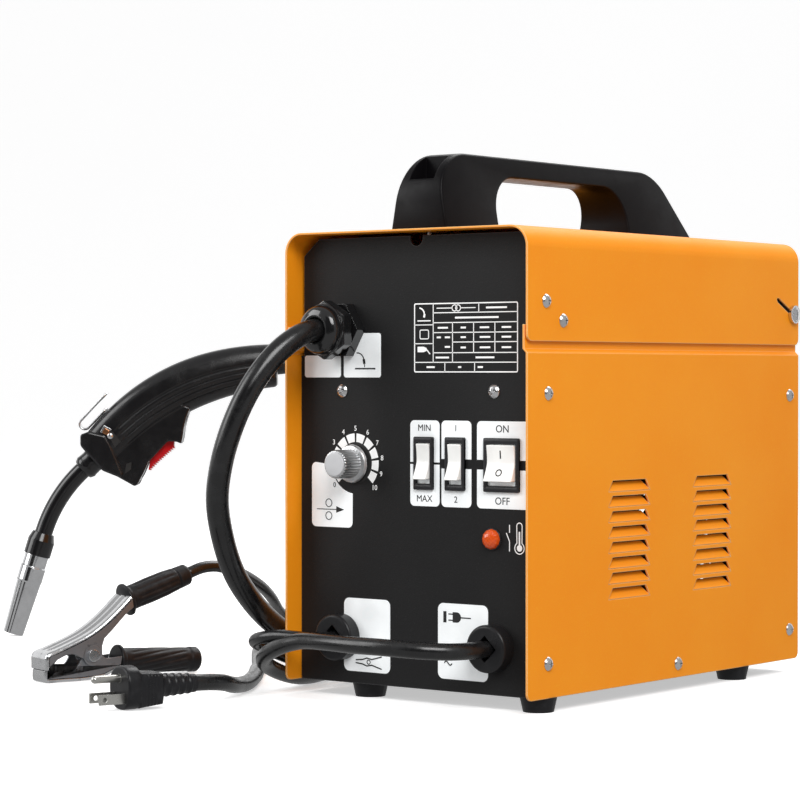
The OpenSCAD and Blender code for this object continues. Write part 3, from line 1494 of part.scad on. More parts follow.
// A point of the clamp frame on the upper grip's axis, s beyond its end
function beyond_grip(s) = let (p = upper_grip + (upper_grip_len + s) * [cos(upper_grip_dir), sin(upper_grip_dir)])
    in_frame(clamp_at, clamp_turn, [p[0], 0, p[1] + floor_z]);
// A point on the plug's axis, s beyond its strain relief
function beyond_plug(s) = in_frame(plug_at, plug_turn, [plug_len + relief_len + s, 0, plug_axis_z]);

module torch_hose() {
    color("#1b1b1c") {
        tube(hose_front_route, hose_d, 10);
        tube(concat(hose_back_route, [hose_before, hose_end]), hose_d, 10);
    }
}

module torch_hose_coil() {
    color("#1b1b1c") tube(hose_coil, hose_d, 6);
}

module earth_lead() {
    color("#1b1b1c") tube(concat(earth_route, [beyond_grip(12), beyond_grip(0.15)]), earth_d, 8);
}

module mains_lead() {
    color("#1b1b1c") {
        tube(mains_front_route, mains_d, 8);
        tube(concat(mains_plug_route, [beyond_plug(1), beyond_plug(-11)]), mains_d, 8);
    }
}

module mains_lead_coil() {
    color("#1b1b1c") tube(mains_coil, mains_d, 6);
}

base_tray();
front_panel();
rear_panel();
deck();
side_panel_left();
side_panel_right();
feet();
screws();
gland_body();
gland_nut();
cord_bushes();
cover();
handle();
cover_screws();
small_switch_housings();
mains_switch_housing();
min_max_rocker();
one_two_rocker();
mains_rocker();
potentiometer();
speed_knob();
overheat_lamp();
transformer_core();
transformer_windings();
control_board();
fan_frame();
fan_rotor();
feed_motor();
feeder_plate();
drive_roller();
pressure_arm();
pressure_roller();
tension_screw();
spool_spindle();
wire_spool();
wire_winding();
spool_nut();
torch_shell_left();
torch_shell_right();
torch_trigger();
torch_hook();
torch_neck();
torch_collar();
torch_insulator();
contact_tip();
torch_nozzle();
clamp_lower_jaw();
clamp_upper_jaw();
clamp_lower_grip();
clamp_upper_grip();
clamp_rivet();
clamp_spring();
plug_body();
plug_pins();
torch_hose();
torch_hose_coil();
earth_lead();
mains_lead();
mains_lead_coil();
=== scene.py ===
"""Looks of a gasless wire-feed welding machine with its torch, earth clamp and mains lead.

Metres, in the frame of the CAD model: the origin is the centre of the base tray's underside, the
front is -Y and up is +Z. Lengths inside the pieces' own functions are millimetres. The script is
laid out as an add-on: one operator for each group of pieces and one for the stage, called in
order by main().
"""

import json
import math
from functools import partial

import bmesh
import bpy
import numpy as np
from mathutils import Matrix, Vector

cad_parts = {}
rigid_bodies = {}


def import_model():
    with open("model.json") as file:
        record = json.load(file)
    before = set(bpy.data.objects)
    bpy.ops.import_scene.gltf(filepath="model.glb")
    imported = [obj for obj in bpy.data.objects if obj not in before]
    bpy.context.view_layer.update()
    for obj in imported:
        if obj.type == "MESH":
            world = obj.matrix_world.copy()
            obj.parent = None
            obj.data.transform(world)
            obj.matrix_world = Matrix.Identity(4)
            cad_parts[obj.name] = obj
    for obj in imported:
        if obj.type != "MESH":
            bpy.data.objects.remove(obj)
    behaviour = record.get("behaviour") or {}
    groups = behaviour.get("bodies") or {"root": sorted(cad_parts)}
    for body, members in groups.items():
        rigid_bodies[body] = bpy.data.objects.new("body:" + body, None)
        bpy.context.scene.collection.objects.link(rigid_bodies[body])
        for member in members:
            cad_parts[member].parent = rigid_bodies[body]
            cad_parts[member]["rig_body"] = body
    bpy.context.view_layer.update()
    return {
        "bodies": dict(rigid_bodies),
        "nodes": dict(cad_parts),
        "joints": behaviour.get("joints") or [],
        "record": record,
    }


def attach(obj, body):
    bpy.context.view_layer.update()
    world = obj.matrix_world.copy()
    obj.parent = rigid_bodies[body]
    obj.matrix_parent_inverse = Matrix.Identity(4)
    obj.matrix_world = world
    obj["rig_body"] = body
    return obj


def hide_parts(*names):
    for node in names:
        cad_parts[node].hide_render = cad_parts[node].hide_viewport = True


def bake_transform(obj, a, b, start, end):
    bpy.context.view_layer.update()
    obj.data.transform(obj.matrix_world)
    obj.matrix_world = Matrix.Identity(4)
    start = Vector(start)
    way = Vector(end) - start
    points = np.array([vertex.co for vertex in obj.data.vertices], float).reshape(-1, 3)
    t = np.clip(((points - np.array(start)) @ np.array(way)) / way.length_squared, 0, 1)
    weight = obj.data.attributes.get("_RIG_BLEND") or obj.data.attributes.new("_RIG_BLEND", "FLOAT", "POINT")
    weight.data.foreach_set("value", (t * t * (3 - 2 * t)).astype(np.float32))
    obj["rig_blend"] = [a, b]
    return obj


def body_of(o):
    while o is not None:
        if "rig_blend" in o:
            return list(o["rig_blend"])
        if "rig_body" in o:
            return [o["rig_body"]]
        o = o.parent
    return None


bl_info = {
    "name": "Welding machine looks",
    "version": (1, 0, 0),
    "blender": (4, 5, 0),
    "location": "3D View > Sidebar > Welder",
    "description": "Dresses the CAD frame of a wire-feed welding machine",
    "category": "Object",
}

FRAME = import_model()

MM = 0.001
FLOOR = -0.009
PANEL_Y = -147.0
PRINT_THICK = 0.1
PRINT_LIFT = 0.2


def mm(*values):
    """Millimetres as a vector in metres."""
    return Vector([v * MM for v in values])


# ---- Shader arithmetic ----


class Value:
    """A value in a material's node tree. Arithmetic on it adds the Math nodes that work it out."""

    def __init__(self, paint, socket):
        self.paint = paint
        self.socket = socket

    def _maths(self, operation, *terms):
        return self.paint.node("ShaderNodeMath", terms, operation=operation)

    def __add__(self, other):
        return self._maths("ADD", self, other)

    def __rsub__(self, other):
        return self._maths("SUBTRACT", other, self)

    def __mul__(self, other):
        return self._maths("MULTIPLY", self, other)

    def __gt__(self, other):
        return self._maths("GREATER_THAN", self, other)

    def absolute(self):
        """The value without its sign."""
        return self._maths("ABSOLUTE", self)

    def sine(self):
        """The sine of the value, in radians."""
        return self._maths("SINE", self)

    def mapped(self, low, high, to_low=0.0, to_high=1.0):
        """The value with low..high stretched to to_low..to_high, and held at the ends."""
        return self.paint.node("ShaderNodeMapRange", (self, low, high, to_low, to_high))


def scaled(colour, factor, more=0.0):
    """A colour made lighter or darker, held at white."""
    return [min(1.0, c * factor + more) for c in colour]


class Paint:
    """A material under construction, with its Principled shader and object coordinates at hand."""

    def __init__(self, name, roughness=0.5, metallic=0.0, **sockets):
        self.material = bpy.data.materials.new(name)
        self.material.use_nodes = True
        self.tree = self.material.node_tree
        self.tree.nodes.clear()
        output = self.tree.nodes.new("ShaderNodeOutputMaterial")
        self.shader = self.tree.nodes.new("ShaderNodeBsdfPrincipled")
        self.tree.links.new(self.shader.outputs["BSDF"], output.inputs["Surface"])
        self.set("Roughness", roughness)
        self.set("Metallic", metallic)
        for socket, value in sockets.items():
            self.set(socket.replace("_", " ").title().replace("Ior", "IOR"), value)
        self.place = self.node("ShaderNodeTexCoord", out="Object")

    def node(self, kind, inputs=(), out=0, **settings):
        """Adds any node. inputs go to its sockets in order, or by name from a dict; out picks its output."""
        made = self.tree.nodes.new(kind)
        for key, value in settings.items():
            setattr(made, key, value)
        pairs = inputs.items() if isinstance(inputs, dict) else enumerate(inputs)
        for key, value in pairs:
            self._feed(made.inputs[key], value)
        return Value(self, made.outputs[out])

    def _feed(self, socket, value):
        if isinstance(value, Value):
            self.tree.links.new(value.socket, socket)
        elif socket.type == "RGBA" and len(value) == 3:
            socket.default_value = (*value, 1.0)
        else:
            socket.default_value = value

    def set(self, socket, value):
        """Feeds one socket of the Principled shader."""
        self._feed(self.shader.inputs[socket], value)

    def axis(self, name):
        """One of the object coordinates X, Y and Z."""
        return self.node("ShaderNodeSeparateXYZ", (self.place,), out=name)

    def noise(self, scale, detail=3.0, roughness=0.55, at=None):
        """Fractal noise, 0 to 1, with scale features a metre."""
        inputs = {"Vector": at or self.place, "Scale": scale, "Detail": detail, "Roughness": roughness}
        return self.node("ShaderNodeTexNoise", inputs, out="Fac")

    def cells(self, scale):
        """Distance to the nearest of scattered points, scale of them a metre."""
        return self.node("ShaderNodeTexVoronoi", {"Vector": self.place, "Scale": scale}, out="Distance")

    def blend(self, factor, first, second):
        """A colour that goes from first to second as factor goes from 0 to 1."""
        return self.node("ShaderNodeMix", {0: factor, 6: first, 7: second}, out=2, data_type="RGBA")

    def tint(self, factor, first, second):
        """Colours the surface with a blend."""
        self.set("Base Color", self.blend(factor, first, second))

    def relief(self, height, distance, strength=1.0, edge=0.0):
        """Bump from a height field, over edges that a Bevel node rounds to the radius edge.

        Gives the finished material.
        """
        bump = {"Height": height, "Distance": distance, "Strength": strength}
        if edge:
            bump["Normal"] = self.node("ShaderNodeBevel", {"Radius": edge}, samples=6)
        self.set("Normal", self.node("ShaderNodeBump", bump))
        return self.material

    # The mask for the painted highlight on the powder coat's sheet edges.
    def edge_wear(self, radius):
        """About 1 on sharp outer edges and 0 on flat surfaces, from how far the bevel bends the normal."""
        bevel = self.node("ShaderNodeBevel", {"Radius": radius}, samples=6)
        flat = self.node("ShaderNodeNewGeometry", out="Normal")
        dot = self.node("ShaderNodeVectorMath", (bevel, flat), out="Value", operation="DOT_PRODUCT")
        return (1.0 - dot).mapped(0.02, 0.3)


# ---- Materials ----


def powder_paint(name, colour, dark, rough=0.42, grain=1400.0, edge_highlight_colour=None):
    """Textured powder coat: fine pebbled grain, faint clouding, and a painted highlight that makes the sheet
    edges paler.
    """
    p = Paint(name, specular_ior_level=0.16)
    cloud = p.noise(9.0, 4.0)
    fleck = p.noise(grain * 0.7, 2.0)
    tone = p.blend(cloud.mapped(0.35, 0.7), colour, dark)
    speck = p.blend(fleck.mapped(0.58, 0.78, 0.0, 0.28), tone, scaled(colour, 1.5, 0.015))
    # The paler colour on sharp edges is a painted highlight.
    if edge_highlight_colour:
        speck = p.blend(p.edge_wear(0.0013) * 1.0, speck, edge_highlight_colour)
    p.set("Base Color", speck)
    p.set("Roughness", cloud.mapped(0.3, 0.75, rough - 0.05, rough + 0.08) + fleck * 0.05)
    return p.relief(p.cells(grain) * 0.7 + p.noise(grain * 0.45, 2.0) * 0.6, 0.00012, 0.55, edge=0.0009)


def moulded_plastic(name, colour, rough=0.4, grain=2600.0, depth=0.00003, edge=0.0006, coat=0.0, shine=0.25):
    """Moulded plastic: fine spark-eroded grain, faint flow marks and handling shine."""
    p = Paint(name, specular_ior_level=shine, coat_weight=coat, coat_roughness=0.15)
    p.tint(p.noise(28.0, 3.0, 0.6).mapped(0.3, 0.75), colour, [c * 1.35 + 0.001 for c in colour])
    p.set("Roughness", p.noise(70.0, 5.0, 0.65).mapped(0.35, 0.7, rough - 0.08, rough + 0.09))
    return p.relief(p.cells(grain) + p.noise(grain * 0.5, 2.0) * 0.5, depth, 0.6, edge=edge)


def bright_metal(name, colour, rough=0.2, drawn=(1.0, 1.0, 1.0), scratch=0.0, edge=0.0004, spots=0.0):
    """Plated or polished metal with drawing lines, smudges and small dull spots."""
    p = Paint(name, metallic=1.0)
    smudge = p.noise(60.0, 4.0, 0.6)
    stretched = p.node("ShaderNodeMapping", {"Vector": p.place, "Scale": drawn})
    lines = p.noise(900.0, 4.0, 0.7, at=stretched)
    dull = p.noise(210.0, 3.0).mapped(0.6, 0.75)
    smudged = p.blend(smudge.mapped(0.35, 0.75), colour, scaled(colour, 0.8))
    p.tint(dull * spots, smudged, scaled(colour, 0.45))
    shine = smudge.mapped(0.35, 0.7, rough * 0.75, rough * 1.35)
    p.set("Roughness", shine + lines * scratch + dull * spots * 0.2)
    return p.relief(lines, 0.00002, 0.25 + scratch, edge=edge)


def rubber(name, colour, rough=0.5):
    """Moulded rubber or vinyl with a soft sheen, dust and fine pores."""
    p = Paint(name, specular_ior_level=0.25)
    dust = p.noise(130.0, 5.0, 0.7)
    p.tint(dust.mapped(0.5, 0.85), colour, scaled(colour, 1.9, 0.006))
    p.set("Roughness", dust.mapped(0.35, 0.75, rough - 0.1, rough + 0.1))
    return p.relief(p.noise(1500.0, 3.0) + p.noise(260.0, 2.0) * 0.8, 0.00006, 0.5, edge=0.0005)


def cord_sheath(name, colour, rough=0.34):
    """Extruded cord sheath: glossy, with faint extrusion lines, scuffs and dust."""
    p = Paint(name, specular_ior_level=0.5, coat_weight=0.1, coat_roughness=0.3)
    scuff = p.noise(90.0, 5.0, 0.7)
    p.tint(scuff.mapped(0.45, 0.8), colour, scaled(colour, 1.8, 0.004))
    p.set("Roughness", scuff.mapped(0.3, 0.75, rough - 0.08, rough + 0.14))
    return p.relief(p.noise(420.0, 3.0) + p.noise(2200.0, 2.0) * 0.3, 0.000012, 0.25)


def lamp_lens(name):
    """Amber-red lamp lens: clear gloss over a fluted diffuser."""
    p = Paint(name, roughness=0.16, coat_weight=0.3, coat_roughness=0.05, transmission_weight=0.25)
    rays = ((p.axis("X") * 2600.0).sine() * (p.axis("Z") * 2600.0).sine()).mapped(-1.0, 1.0)
    p.tint(rays * 0.6, (0.90, 0.13, 0.012), (0.72, 0.055, 0.006))
    return p.relief(rays, 0.00004, 0.3, edge=0.0003)


def copper_coil(name):
    """Varnished copper windings: strands laid round the core, layer over layer."""
    p = Paint(name, metallic=0.85, coat_weight=0.5, coat_roughness=0.2)
    strand = (p.axis("Z") * 3100.0).sine().absolute()
    p.tint(p.noise(60.0) * 0.8, (0.62, 0.25, 0.10), (0.40, 0.14, 0.05))
    p.set("Roughness", strand.mapped(0.0, 1.0, 0.42, 0.28))
    return p.relief(strand, 0.0004, 0.9, edge=0.001)


def laminated_iron(name):
    """Stacked transformer sheets, varnished: thin lines across the stack."""
    p = Paint(name, metallic=0.7, roughness=0.45)
    seam = (p.axis("Y") * 6200.0).sine().mapped(0.75, 0.98)
    p.tint(seam, p.blend(p.noise(40.0), (0.20, 0.21, 0.23), (0.13, 0.12, 0.115)), (0.03, 0.03, 0.03))
    p.set("Roughness", p.noise(90.0).mapped(0.3, 0.7, 0.35, 0.6))
    return p.relief(1.0 - seam, 0.0002, 0.8, edge=0.0008)


def wound_wire(name):
    """Flux-cored wire wound on its spool: fine turns side by side, with painted shade in the grooves between
    them.
    """
    p = Paint(name, metallic=1.0, roughness=0.32)
    turn = (p.axis("X") * 6980.0 + p.noise(30.0) * 3.0).sine().absolute()
    # Dark in the grooves between the turns: painted shade.
    p.tint(turn, (0.16, 0.13, 0.10), (0.66, 0.58, 0.47))
    return p.relief(turn, 0.0004, 1.0)


def circuit_board(name):
    """Solder mask with faint tracks, and darker parts above it."""
    p = Paint(name, roughness=0.4, coat_weight=0.3)
    tracks = ((p.axis("X") * 900.0).sine() > 0.72) + ((p.axis("Y") * 760.0).sine() > 0.8)
    tracks = tracks.mapped(0.0, 1.0)
    board = p.blend(tracks * 0.6, (0.022, 0.13, 0.05), (0.10, 0.32, 0.13))
    p.tint(p.axis("Z") > 0.0142, board, p.blend(p.noise(90.0), (0.03, 0.03, 0.034), (0.12, 0.13, 0.15)))
    return p.relief(tracks + p.noise(800.0) * 0.3, 0.0001, 0.5, edge=0.0005)


PAINTS = {}
CHROME = (0.74, 0.745, 0.755)
BRIGHT_METALS = {
    "zinc": ("zinc_sheet", (0.62, 0.64, 0.66), 0.36, (1.0, 0.05, 1.0), 0.1),
    "screw": ("screw_steel", (0.74, 0.74, 0.75), 0.2, (1.0, 1.0, 1.0), 0.08, 0.0003, 0.4),
    "knob": ("knob_silver", (0.70, 0.71, 0.72), 0.34, (1.0, 1.0, 1.0), 0.04, 0.0002),
    "motor": ("motor_steel", (0.6, 0.61, 0.62), 0.34, (0.05, 1.0, 1.0), 0.08),
    "feeder": ("feeder_zinc", (0.66, 0.56, 0.30), 0.36),
    "roller": ("roller_steel", (0.7, 0.71, 0.72), 0.22, (1.0, 1.0, 1.0), 0.05),
    "hook": ("hook_steel", CHROME, 0.22, (1.0, 1.0, 1.0), 0.05, 0.0003, 0.3),
    "nozzle": ("nozzle_chrome", CHROME, 0.09, (1.0, 1.0, 1.0), 0.02, 0.0003, 0.15),
    "tip": ("tip_copper", (0.72, 0.33, 0.15), 0.25),
    "clamp": ("clamp_steel", (0.76, 0.765, 0.775), 0.17, (1.0, 1.0, 1.0), 0.06, 0.0005, 0.8),
    # The jaw walls are the same steel as the backs; their darker colour is painted shade.
    "clamp_wall": ("clamp_wall", (0.33, 0.34, 0.36), 0.42, (1.0, 1.0, 1.0), 0.1, 0.0004, 1.0),
    "brass": ("pin_brass", (0.62, 0.615, 0.58), 0.24, (1.0, 1.0, 1.0), 0.04, 0.0003),
}
# The colour that is None here comes from the settings.
PLASTICS = {
    "gland": ("gland_nylon", (0.0065, 0.0065, 0.007), 0.15, 1800.0, 0.00001, 0.0005, 0.4, 0.5),
    "bush": ("bush_plastic", (0.012, 0.012, 0.013), 0.34, 2600.0, 0.00003, 0.0007),
    "handle": ("handle_plastic", (0.0030, 0.0026, 0.0032), 0.38, 2200.0, 0.00004, 0.0008, 0.0, 0.10),
    "housing": ("switch_housing", (0.020, 0.020, 0.022), 0.32),
    "white": ("rocker_white", (0.83, 0.83, 0.81), 0.22, 1500.0, 0.00001, 0.0006, 0.4),
    "pot": ("pot_body", (0.05, 0.07, 0.04), 0.5),
    "knob_cap": ("knob_cap", (0.50, 0.50, 0.51), 0.36, 1800.0, 0.00001, 0.0004, 0.2),
    "tension": ("tension_red", (0.42, 0.025, 0.02), 0.4),
    "torch": ("torch_plastic", None, 0.24, 2400.0, 0.00002, 0.0006, 0.15, 0.45),
    "trigger": ("trigger_red", None, 0.27, 2600.0, 0.00003, 0.0004, 0.3),
    "neck": ("neck_black", (0.006, 0.006, 0.0066), 0.18, 1500.0, 0.00001, 0.0006, 0.6),
    # The label white is tinted blue to offset the orange light that the case bounces onto it: painted light.
    "label": ("label_white", (0.89, 0.915, 0.925), 0.38, 1800.0, 0.00001, 0.0002),
    "ink_white": ("ink_white", (0.88, 0.88, 0.875), 0.5, 1800.0, 0.00001, 0.0),
    "ink_black": ("ink_black", (0.02, 0.02, 0.02), 0.5, 1800.0, 0.00001, 0.0),
}


def make_paints(settings):
    """Makes every material once, each under the name of its use."""
    tone = {key: tuple(getattr(settings, key)) for key in settings.__annotations__}
    for use, values in BRIGHT_METALS.items():
        PAINTS[use] = bright_metal(*values)
    for use, (name, colour, *more) in PLASTICS.items():
        PAINTS[use] = moulded_plastic(name, tone.get(use, colour), *more)
    case, panel = (tone["case"], tone["case_cloud"]), (tone["panel"], tone["panel_cloud"])
    PAINTS.update(
        # The edge colours of the case and the panels are painted highlights on their sheet edges.
        orange=powder_paint("powder_orange", *case, 0.42, 1300.0, tone["case_edge"]),
        black_paint=powder_paint("powder_black", *panel, 0.52, 1300.0, tone["panel_edge"]),
        arm=powder_paint("arm_black", (0.03, 0.03, 0.033), (0.02, 0.02, 0.022), 0.45, 1600.0),
        grip=rubber("grip_rubber", tone["grip"], 0.44),
        plug=rubber("plug_vinyl", (0.013, 0.013, 0.0145), 0.36),
        sheath=cord_sheath("cord_rubber", tone["sheath"], 0.24),
        lamp=lamp_lens("lamp_red"),
        iron=laminated_iron("core_iron"),
        copper=copper_coil("winding_copper"),
        board=circuit_board("board_green"),
        wire=wound_wire("wire_flux"),
    )


NODE_PAINT = {
    "orange": "side_panel_left side_panel_right cover",
    "black_paint": "front_panel rear_panel base_tray",
    "zinc": "deck spool_spindle",
    "screw": "screws cover_screws",
    "gland": "gland_body gland_nut spool_nut",
    "bush": "cord_bushes",
    "handle": "handle",
    "grip": "feet clamp_lower_grip clamp_upper_grip",
    "housing": "small_switch_housings mains_switch_housing fan_frame fan_rotor wire_spool",
    "white": "min_max_rocker one_two_rocker mains_rocker",
    "pot": "potentiometer",
    "knob": "speed_knob",
    "lamp": "overheat_lamp",
    "iron": "transformer_core",
    "copper": "transformer_windings",
    "board": "control_board",
    "motor": "feed_motor",
    "feeder": "feeder_plate",
    "roller": "drive_roller pressure_roller",
    "arm": "pressure_arm",
    "tension": "tension_screw",
    "wire": "wire_winding",
    "torch": "torch_shell_left torch_shell_right",
    "trigger": "torch_trigger",
    "hook": "torch_hook",
    "neck": "torch_neck torch_collar torch_insulator",
    "tip": "contact_tip",
    "nozzle": "torch_nozzle",
    "clamp": "clamp_upper_jaw clamp_rivet clamp_spring",
    # The darker steel paints shade on the jaw walls.
    "clamp_wall": "clamp_lower_jaw",
    "plug": "plug_body",
    "brass": "plug_pins",
    "sheath": "torch_hose torch_hose_coil earth_lead mains_lead mains_lead_coil",
}


def paint_nodes(frame):
    """Puts its material on every slot of each CAD node."""
    for use, nodes in NODE_PAINT.items():
        for node in nodes.split():
            for slot in frame["nodes"][node].material_slots:
                slot.material = PAINTS[use]


# ---- Geometry helpers ----


class Frame3:
    """A turned frame of the CAD model, in millimetres, such as the torch's or the plug's."""

    def __init__(self, x=0.0, y=0.0, turn=0.0, z=0.0, axis="Z"):
        self.matrix = Matrix.Translation(mm(x, y, z)) @ Matrix.Rotation(math.radians(turn), 4, axis)
        self.matrix = self.matrix @ Matrix.Scale(MM, 4)

    def turned(self, place, turn, axis):
        """The frame at place in this one, turned by some degrees about an axis of its own."""
        other = Frame3()
        other.matrix = self.matrix @ Matrix.Translation(place) @ Matrix.Rotation(math.radians(turn), 4, axis)
        return other

    def points(self, p):
        """Row-frame points, in metres, of an array of points in this frame."""
        m = np.array(self.matrix)
        return np.asarray(p, float).reshape(-1, 3) @ m[:3, :3].T + m[:3, 3]


ROW = Frame3()
TORCH = Frame3(-275.3, 188.2, 38)
CLAMP = Frame3(-266, -214, 72, -9)
PLUG = Frame3(-120.6, -287.5, 71, 4.5)


def linked(name, data):
    """A new object with that data, in the scene."""
    made = bpy.data.objects.new(name, data)
    bpy.context.scene.collection.objects.link(made)
    return made


def dressed(obj, slot, *nodes):
    """Hides the CAD nodes that a piece stands for. Its slot is not used."""
    if nodes:
        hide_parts(*nodes)
    return obj


def new_mesh(name, verts, faces, material, body, frame=ROW, smooth=True, crease=None):
    """A mesh object from points in a frame, riding on a body, with its faces turned outwards.

    The shading stays hard across edges sharper than crease degrees.
    """
    mesh = bpy.data.meshes.new(name)
    mesh.from_pydata(frame.points(verts).tolist(), [], [list(map(int, f)) for f in faces])
    work = bmesh.new()
    work.from_mesh(mesh)
    bmesh.ops.remove_doubles(work, verts=work.verts, dist=2e-6)
    bmesh.ops.recalc_face_normals(work, faces=work.faces)
    work.to_mesh(mesh)
    work.free()
    mesh.polygons.foreach_set("use_smooth", [smooth] * len(mesh.polygons))
    mesh.materials.append(PAINTS[material])
    made = linked(name, mesh)
    if body:
        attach(made, body)
    return creased(made, crease) if crease else made


def rounded(obj, width, segments=3, angle=30.0):
    """Rounds the edges sharper than angle by a bevel width in millimetres."""
    bevel = obj.modifiers.new("edges", "BEVEL")
    bevel.width = width * MM
    bevel.segments = segments
    bevel.limit_method = "ANGLE"
    bevel.angle_limit = math.radians(angle)
    return obj


def creased(obj, angle):
    """Keeps the shading hard across edges sharper than angle."""
    work = bmesh.new()
    work.from_mesh(obj.data)
    for edge in work.edges:
        if len(edge.link_faces) == 2 and edge.calc_face_angle(0.0) > math.radians(angle):
            edge.smooth = False
    work.to_mesh(obj.data)
    work.free()
    return obj


def joined(name, parts):
    """One object made of several, with their modifiers applied, on the first one's body."""
    graph = bpy.context.evaluated_depsgraph_get()
    work = bmesh.new()
    slots = []
    for part in parts:
        start = len(work.faces)
        work.from_mesh(part.evaluated_get(graph).to_mesh())
        work.faces.ensure_lookup_table()
        material = part.data.materials[0]
        if material not in slots:
            slots.append(material)
        for face in work.faces[start:]:
            face.material_index = slots.index(material)
        part.evaluated_get(graph).to_mesh_clear()
    mesh = bpy.data.meshes.new(name)
    work.to_mesh(mesh)
    work.free()
    for material in slots:
        mesh.materials.append(material)
    made = linked(name, mesh)
    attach(made, body_of(parts[0])[0])
    for part in parts:
        bpy.data.objects.remove(part)
    return made


def circle(steps):
    """Angles once round."""
    return np.linspace(0, 2 * np.pi, steps, endpoint=False)


def heading(degrees):
    """The unit vector at an angle from the first axis."""
    return np.array([math.cos(math.radians(degrees)), math.sin(math.radians(degrees))])


def signed_power(x, exponent):
    """sgn(x) |x|^exponent."""
    return np.sign(x) * np.abs(x) ** exponent


def unit(rows):
    """Each row made one long."""
    return rows / np.linalg.norm(rows, axis=1)[:, None]


def left_of(along):
    """Each direction in a plane, turned a quarter to the left."""
    return np.stack([-along[:, 1], along[:, 0]], axis=1)


def distance_along(path):
    """How far each point of a path is from its first, measured along it."""
    return np.concatenate([[0], np.cumsum(np.linalg.norm(np.diff(path, axis=0), axis=1))])


def grid_faces(rows, columns, closed_u=False, closed_v=False):
    """Quads of a grid of rows x columns points, closed round either way if asked."""
    faces = []
    for i in range(rows if closed_u else rows - 1):
        for j in range(columns if closed_v else columns - 1):
            a, b = i * columns + j, i * columns + (j + 1) % columns
            c = ((i + 1) % rows) * columns
            faces.append((a, b, c + (j + 1) % columns, c + j))
    return faces


def capped(rows, columns):
    """Faces of a tube of rows rings with columns points each, closed by a polygon at both ends."""
    last = (rows - 1) * columns
    ends = [tuple(range(columns - 1, -1, -1)), tuple(range(last, last + columns))]
    return grid_faces(rows, columns, closed_v=True) + ends


def skin(name, rings, material, body, frame=ROW, **more):
    """A closed skin through rings of points."""
    rings = np.asarray(rings, float)
    return new_mesh(name, rings.reshape(-1, 3), capped(*rings.shape[:2]), material, body, frame, **more)


def upright(path, normal, out, across):
    """Points over a path in the XZ plane: out along its normals, and across along Y."""
    x, z = path[:, :1] + normal[:, :1] * out, path[:, 1:] + normal[:, 1:] * out
    return np.stack([x, across + 0 * out, z], axis=-1)


def revolve(name, profile, material, body, frame=ROW, at=(0, 0, 0), axis="Y", steps=40, **more):
    """Surface of revolution of a profile (r, s): p = at + s * axis + r * (cos a * u + sin a * v)."""
    turns = circle(steps)
    r = np.array([p[0] for p in profile])[:, None]
    s = np.array([p[1] for p in profile])[:, None] + 0 * turns
    a, b = r * np.cos(turns), r * np.sin(turns)
    points = np.stack({"Y": (a, s, b), "X": (s, a, b)}[axis], axis=-1) + np.asarray(at, float)
    if profile[0] != profile[-1]:
        return skin(name, points, material, body, frame, **more)
    faces = grid_faces(len(profile) - 1, steps, closed_u=True, closed_v=True)
    return new_mesh(name, points[:-1], faces, material, body, frame, **more)


def prism(outline, low, high, material, body="machine", frame=ROW, plane="XZ", edge=()):
    """A plate with the given outline between two planes of the third axis, its edges rounded by edge."""
    ring = np.asarray(outline, float)
    sides = []
    for level in (low, high):
        third = np.full(len(ring), float(level))
        order = {"XZ": (ring[:, 0], third, ring[:, 1]), "YZ": (third, ring[:, 0], ring[:, 1])}[plane]
        sides.append(np.stack(order, axis=-1))
    made = skin("plate", sides, material, body, frame, smooth=False)
    return rounded(made, *edge) if edge else made


def arc(cx, cz, r, start, end, steps=8):
    """Points on a circle's arc, from start to end degrees."""
    turn = np.radians(np.linspace(start, end, steps + 1))
    return [(cx + r * math.cos(t), cz + r * math.sin(t)) for t in turn]


def round_box(x0, x1, z0, z1, r, steps=6):
    """Outline of a rectangle with rounded corners."""
    corners = ((x1 - r, z0 + r, -90), (x1 - r, z1 - r, 0), (x0 + r, z1 - r, 90), (x0 + r, z0 + r, 180))
    return [point for x, z, start in corners for point in arc(x, z, r, start, start + 90, steps)]


def around_y(centre, radius, turn):
    """A ring of points about a centre, in the XZ plane."""
    x, y, z = centre
    return np.stack([x + radius * np.cos(turn), y + 0 * turn, z + radius * np.sin(turn)], axis=1)


def smooth_path(points, per_segment):
    """Points of the centripetal Catmull-Rom curve through a route.

    On a segment from p1 to p2 with neighbours p0 and p3 the knots are t(i+1) = t(i) + |p(i+1) - p(i)|^0.5,
    and each point is three rounds of linear mixing between them.
    """
    p = np.asarray(points, float)
    p = np.vstack([2 * p[0] - p[1], p, 2 * p[-1] - p[-2]])
    out = []
    for i in range(1, len(p) - 2):
        q = p[i - 1 : i + 3]
        k = np.concatenate([[0], np.cumsum(np.linalg.norm(np.diff(q, axis=0), axis=1) ** 0.5)])
        t = np.linspace(k[1], k[2], per_segment, endpoint=False)[:, None]
        a = [((k[j + 1] - t) * q[j] + (t - k[j]) * q[j + 1]) / (k[j + 1] - k[j]) for j in range(3)]
        b = [((k[j + 2] - t) * a[j] + (t - k[j]) * a[j + 1]) / (k[j + 2] - k[j]) for j in range(2)]
        out.append(((k[2] - t) * b[0] + (t - k[1]) * b[1]) / (k[2] - k[1]))
    return np.vstack(out + [p[-2][None]])


def swept(name, points, radius, material, body, frame=ROW, sides=16):
    """A tube along points: each ring lies across the path and is turned as little as can be."""
    p = np.asarray(points, float)
    side = np.cross(unit(np.gradient(p, axis=0))[0], (0.31, 0.2, 0.93))
    rings = []
    turn = circle(sides)[:, None]
    for here, along in zip(p, unit(np.gradient(p, axis=0))):
        side = side - along * side.dot(along)
        side /= np.linalg.norm(side)
        rings.append(here + radius * (np.cos(turn) * side + np.sin(turn) * np.cross(along, side)))
    return skin(name, rings, material, body, frame)


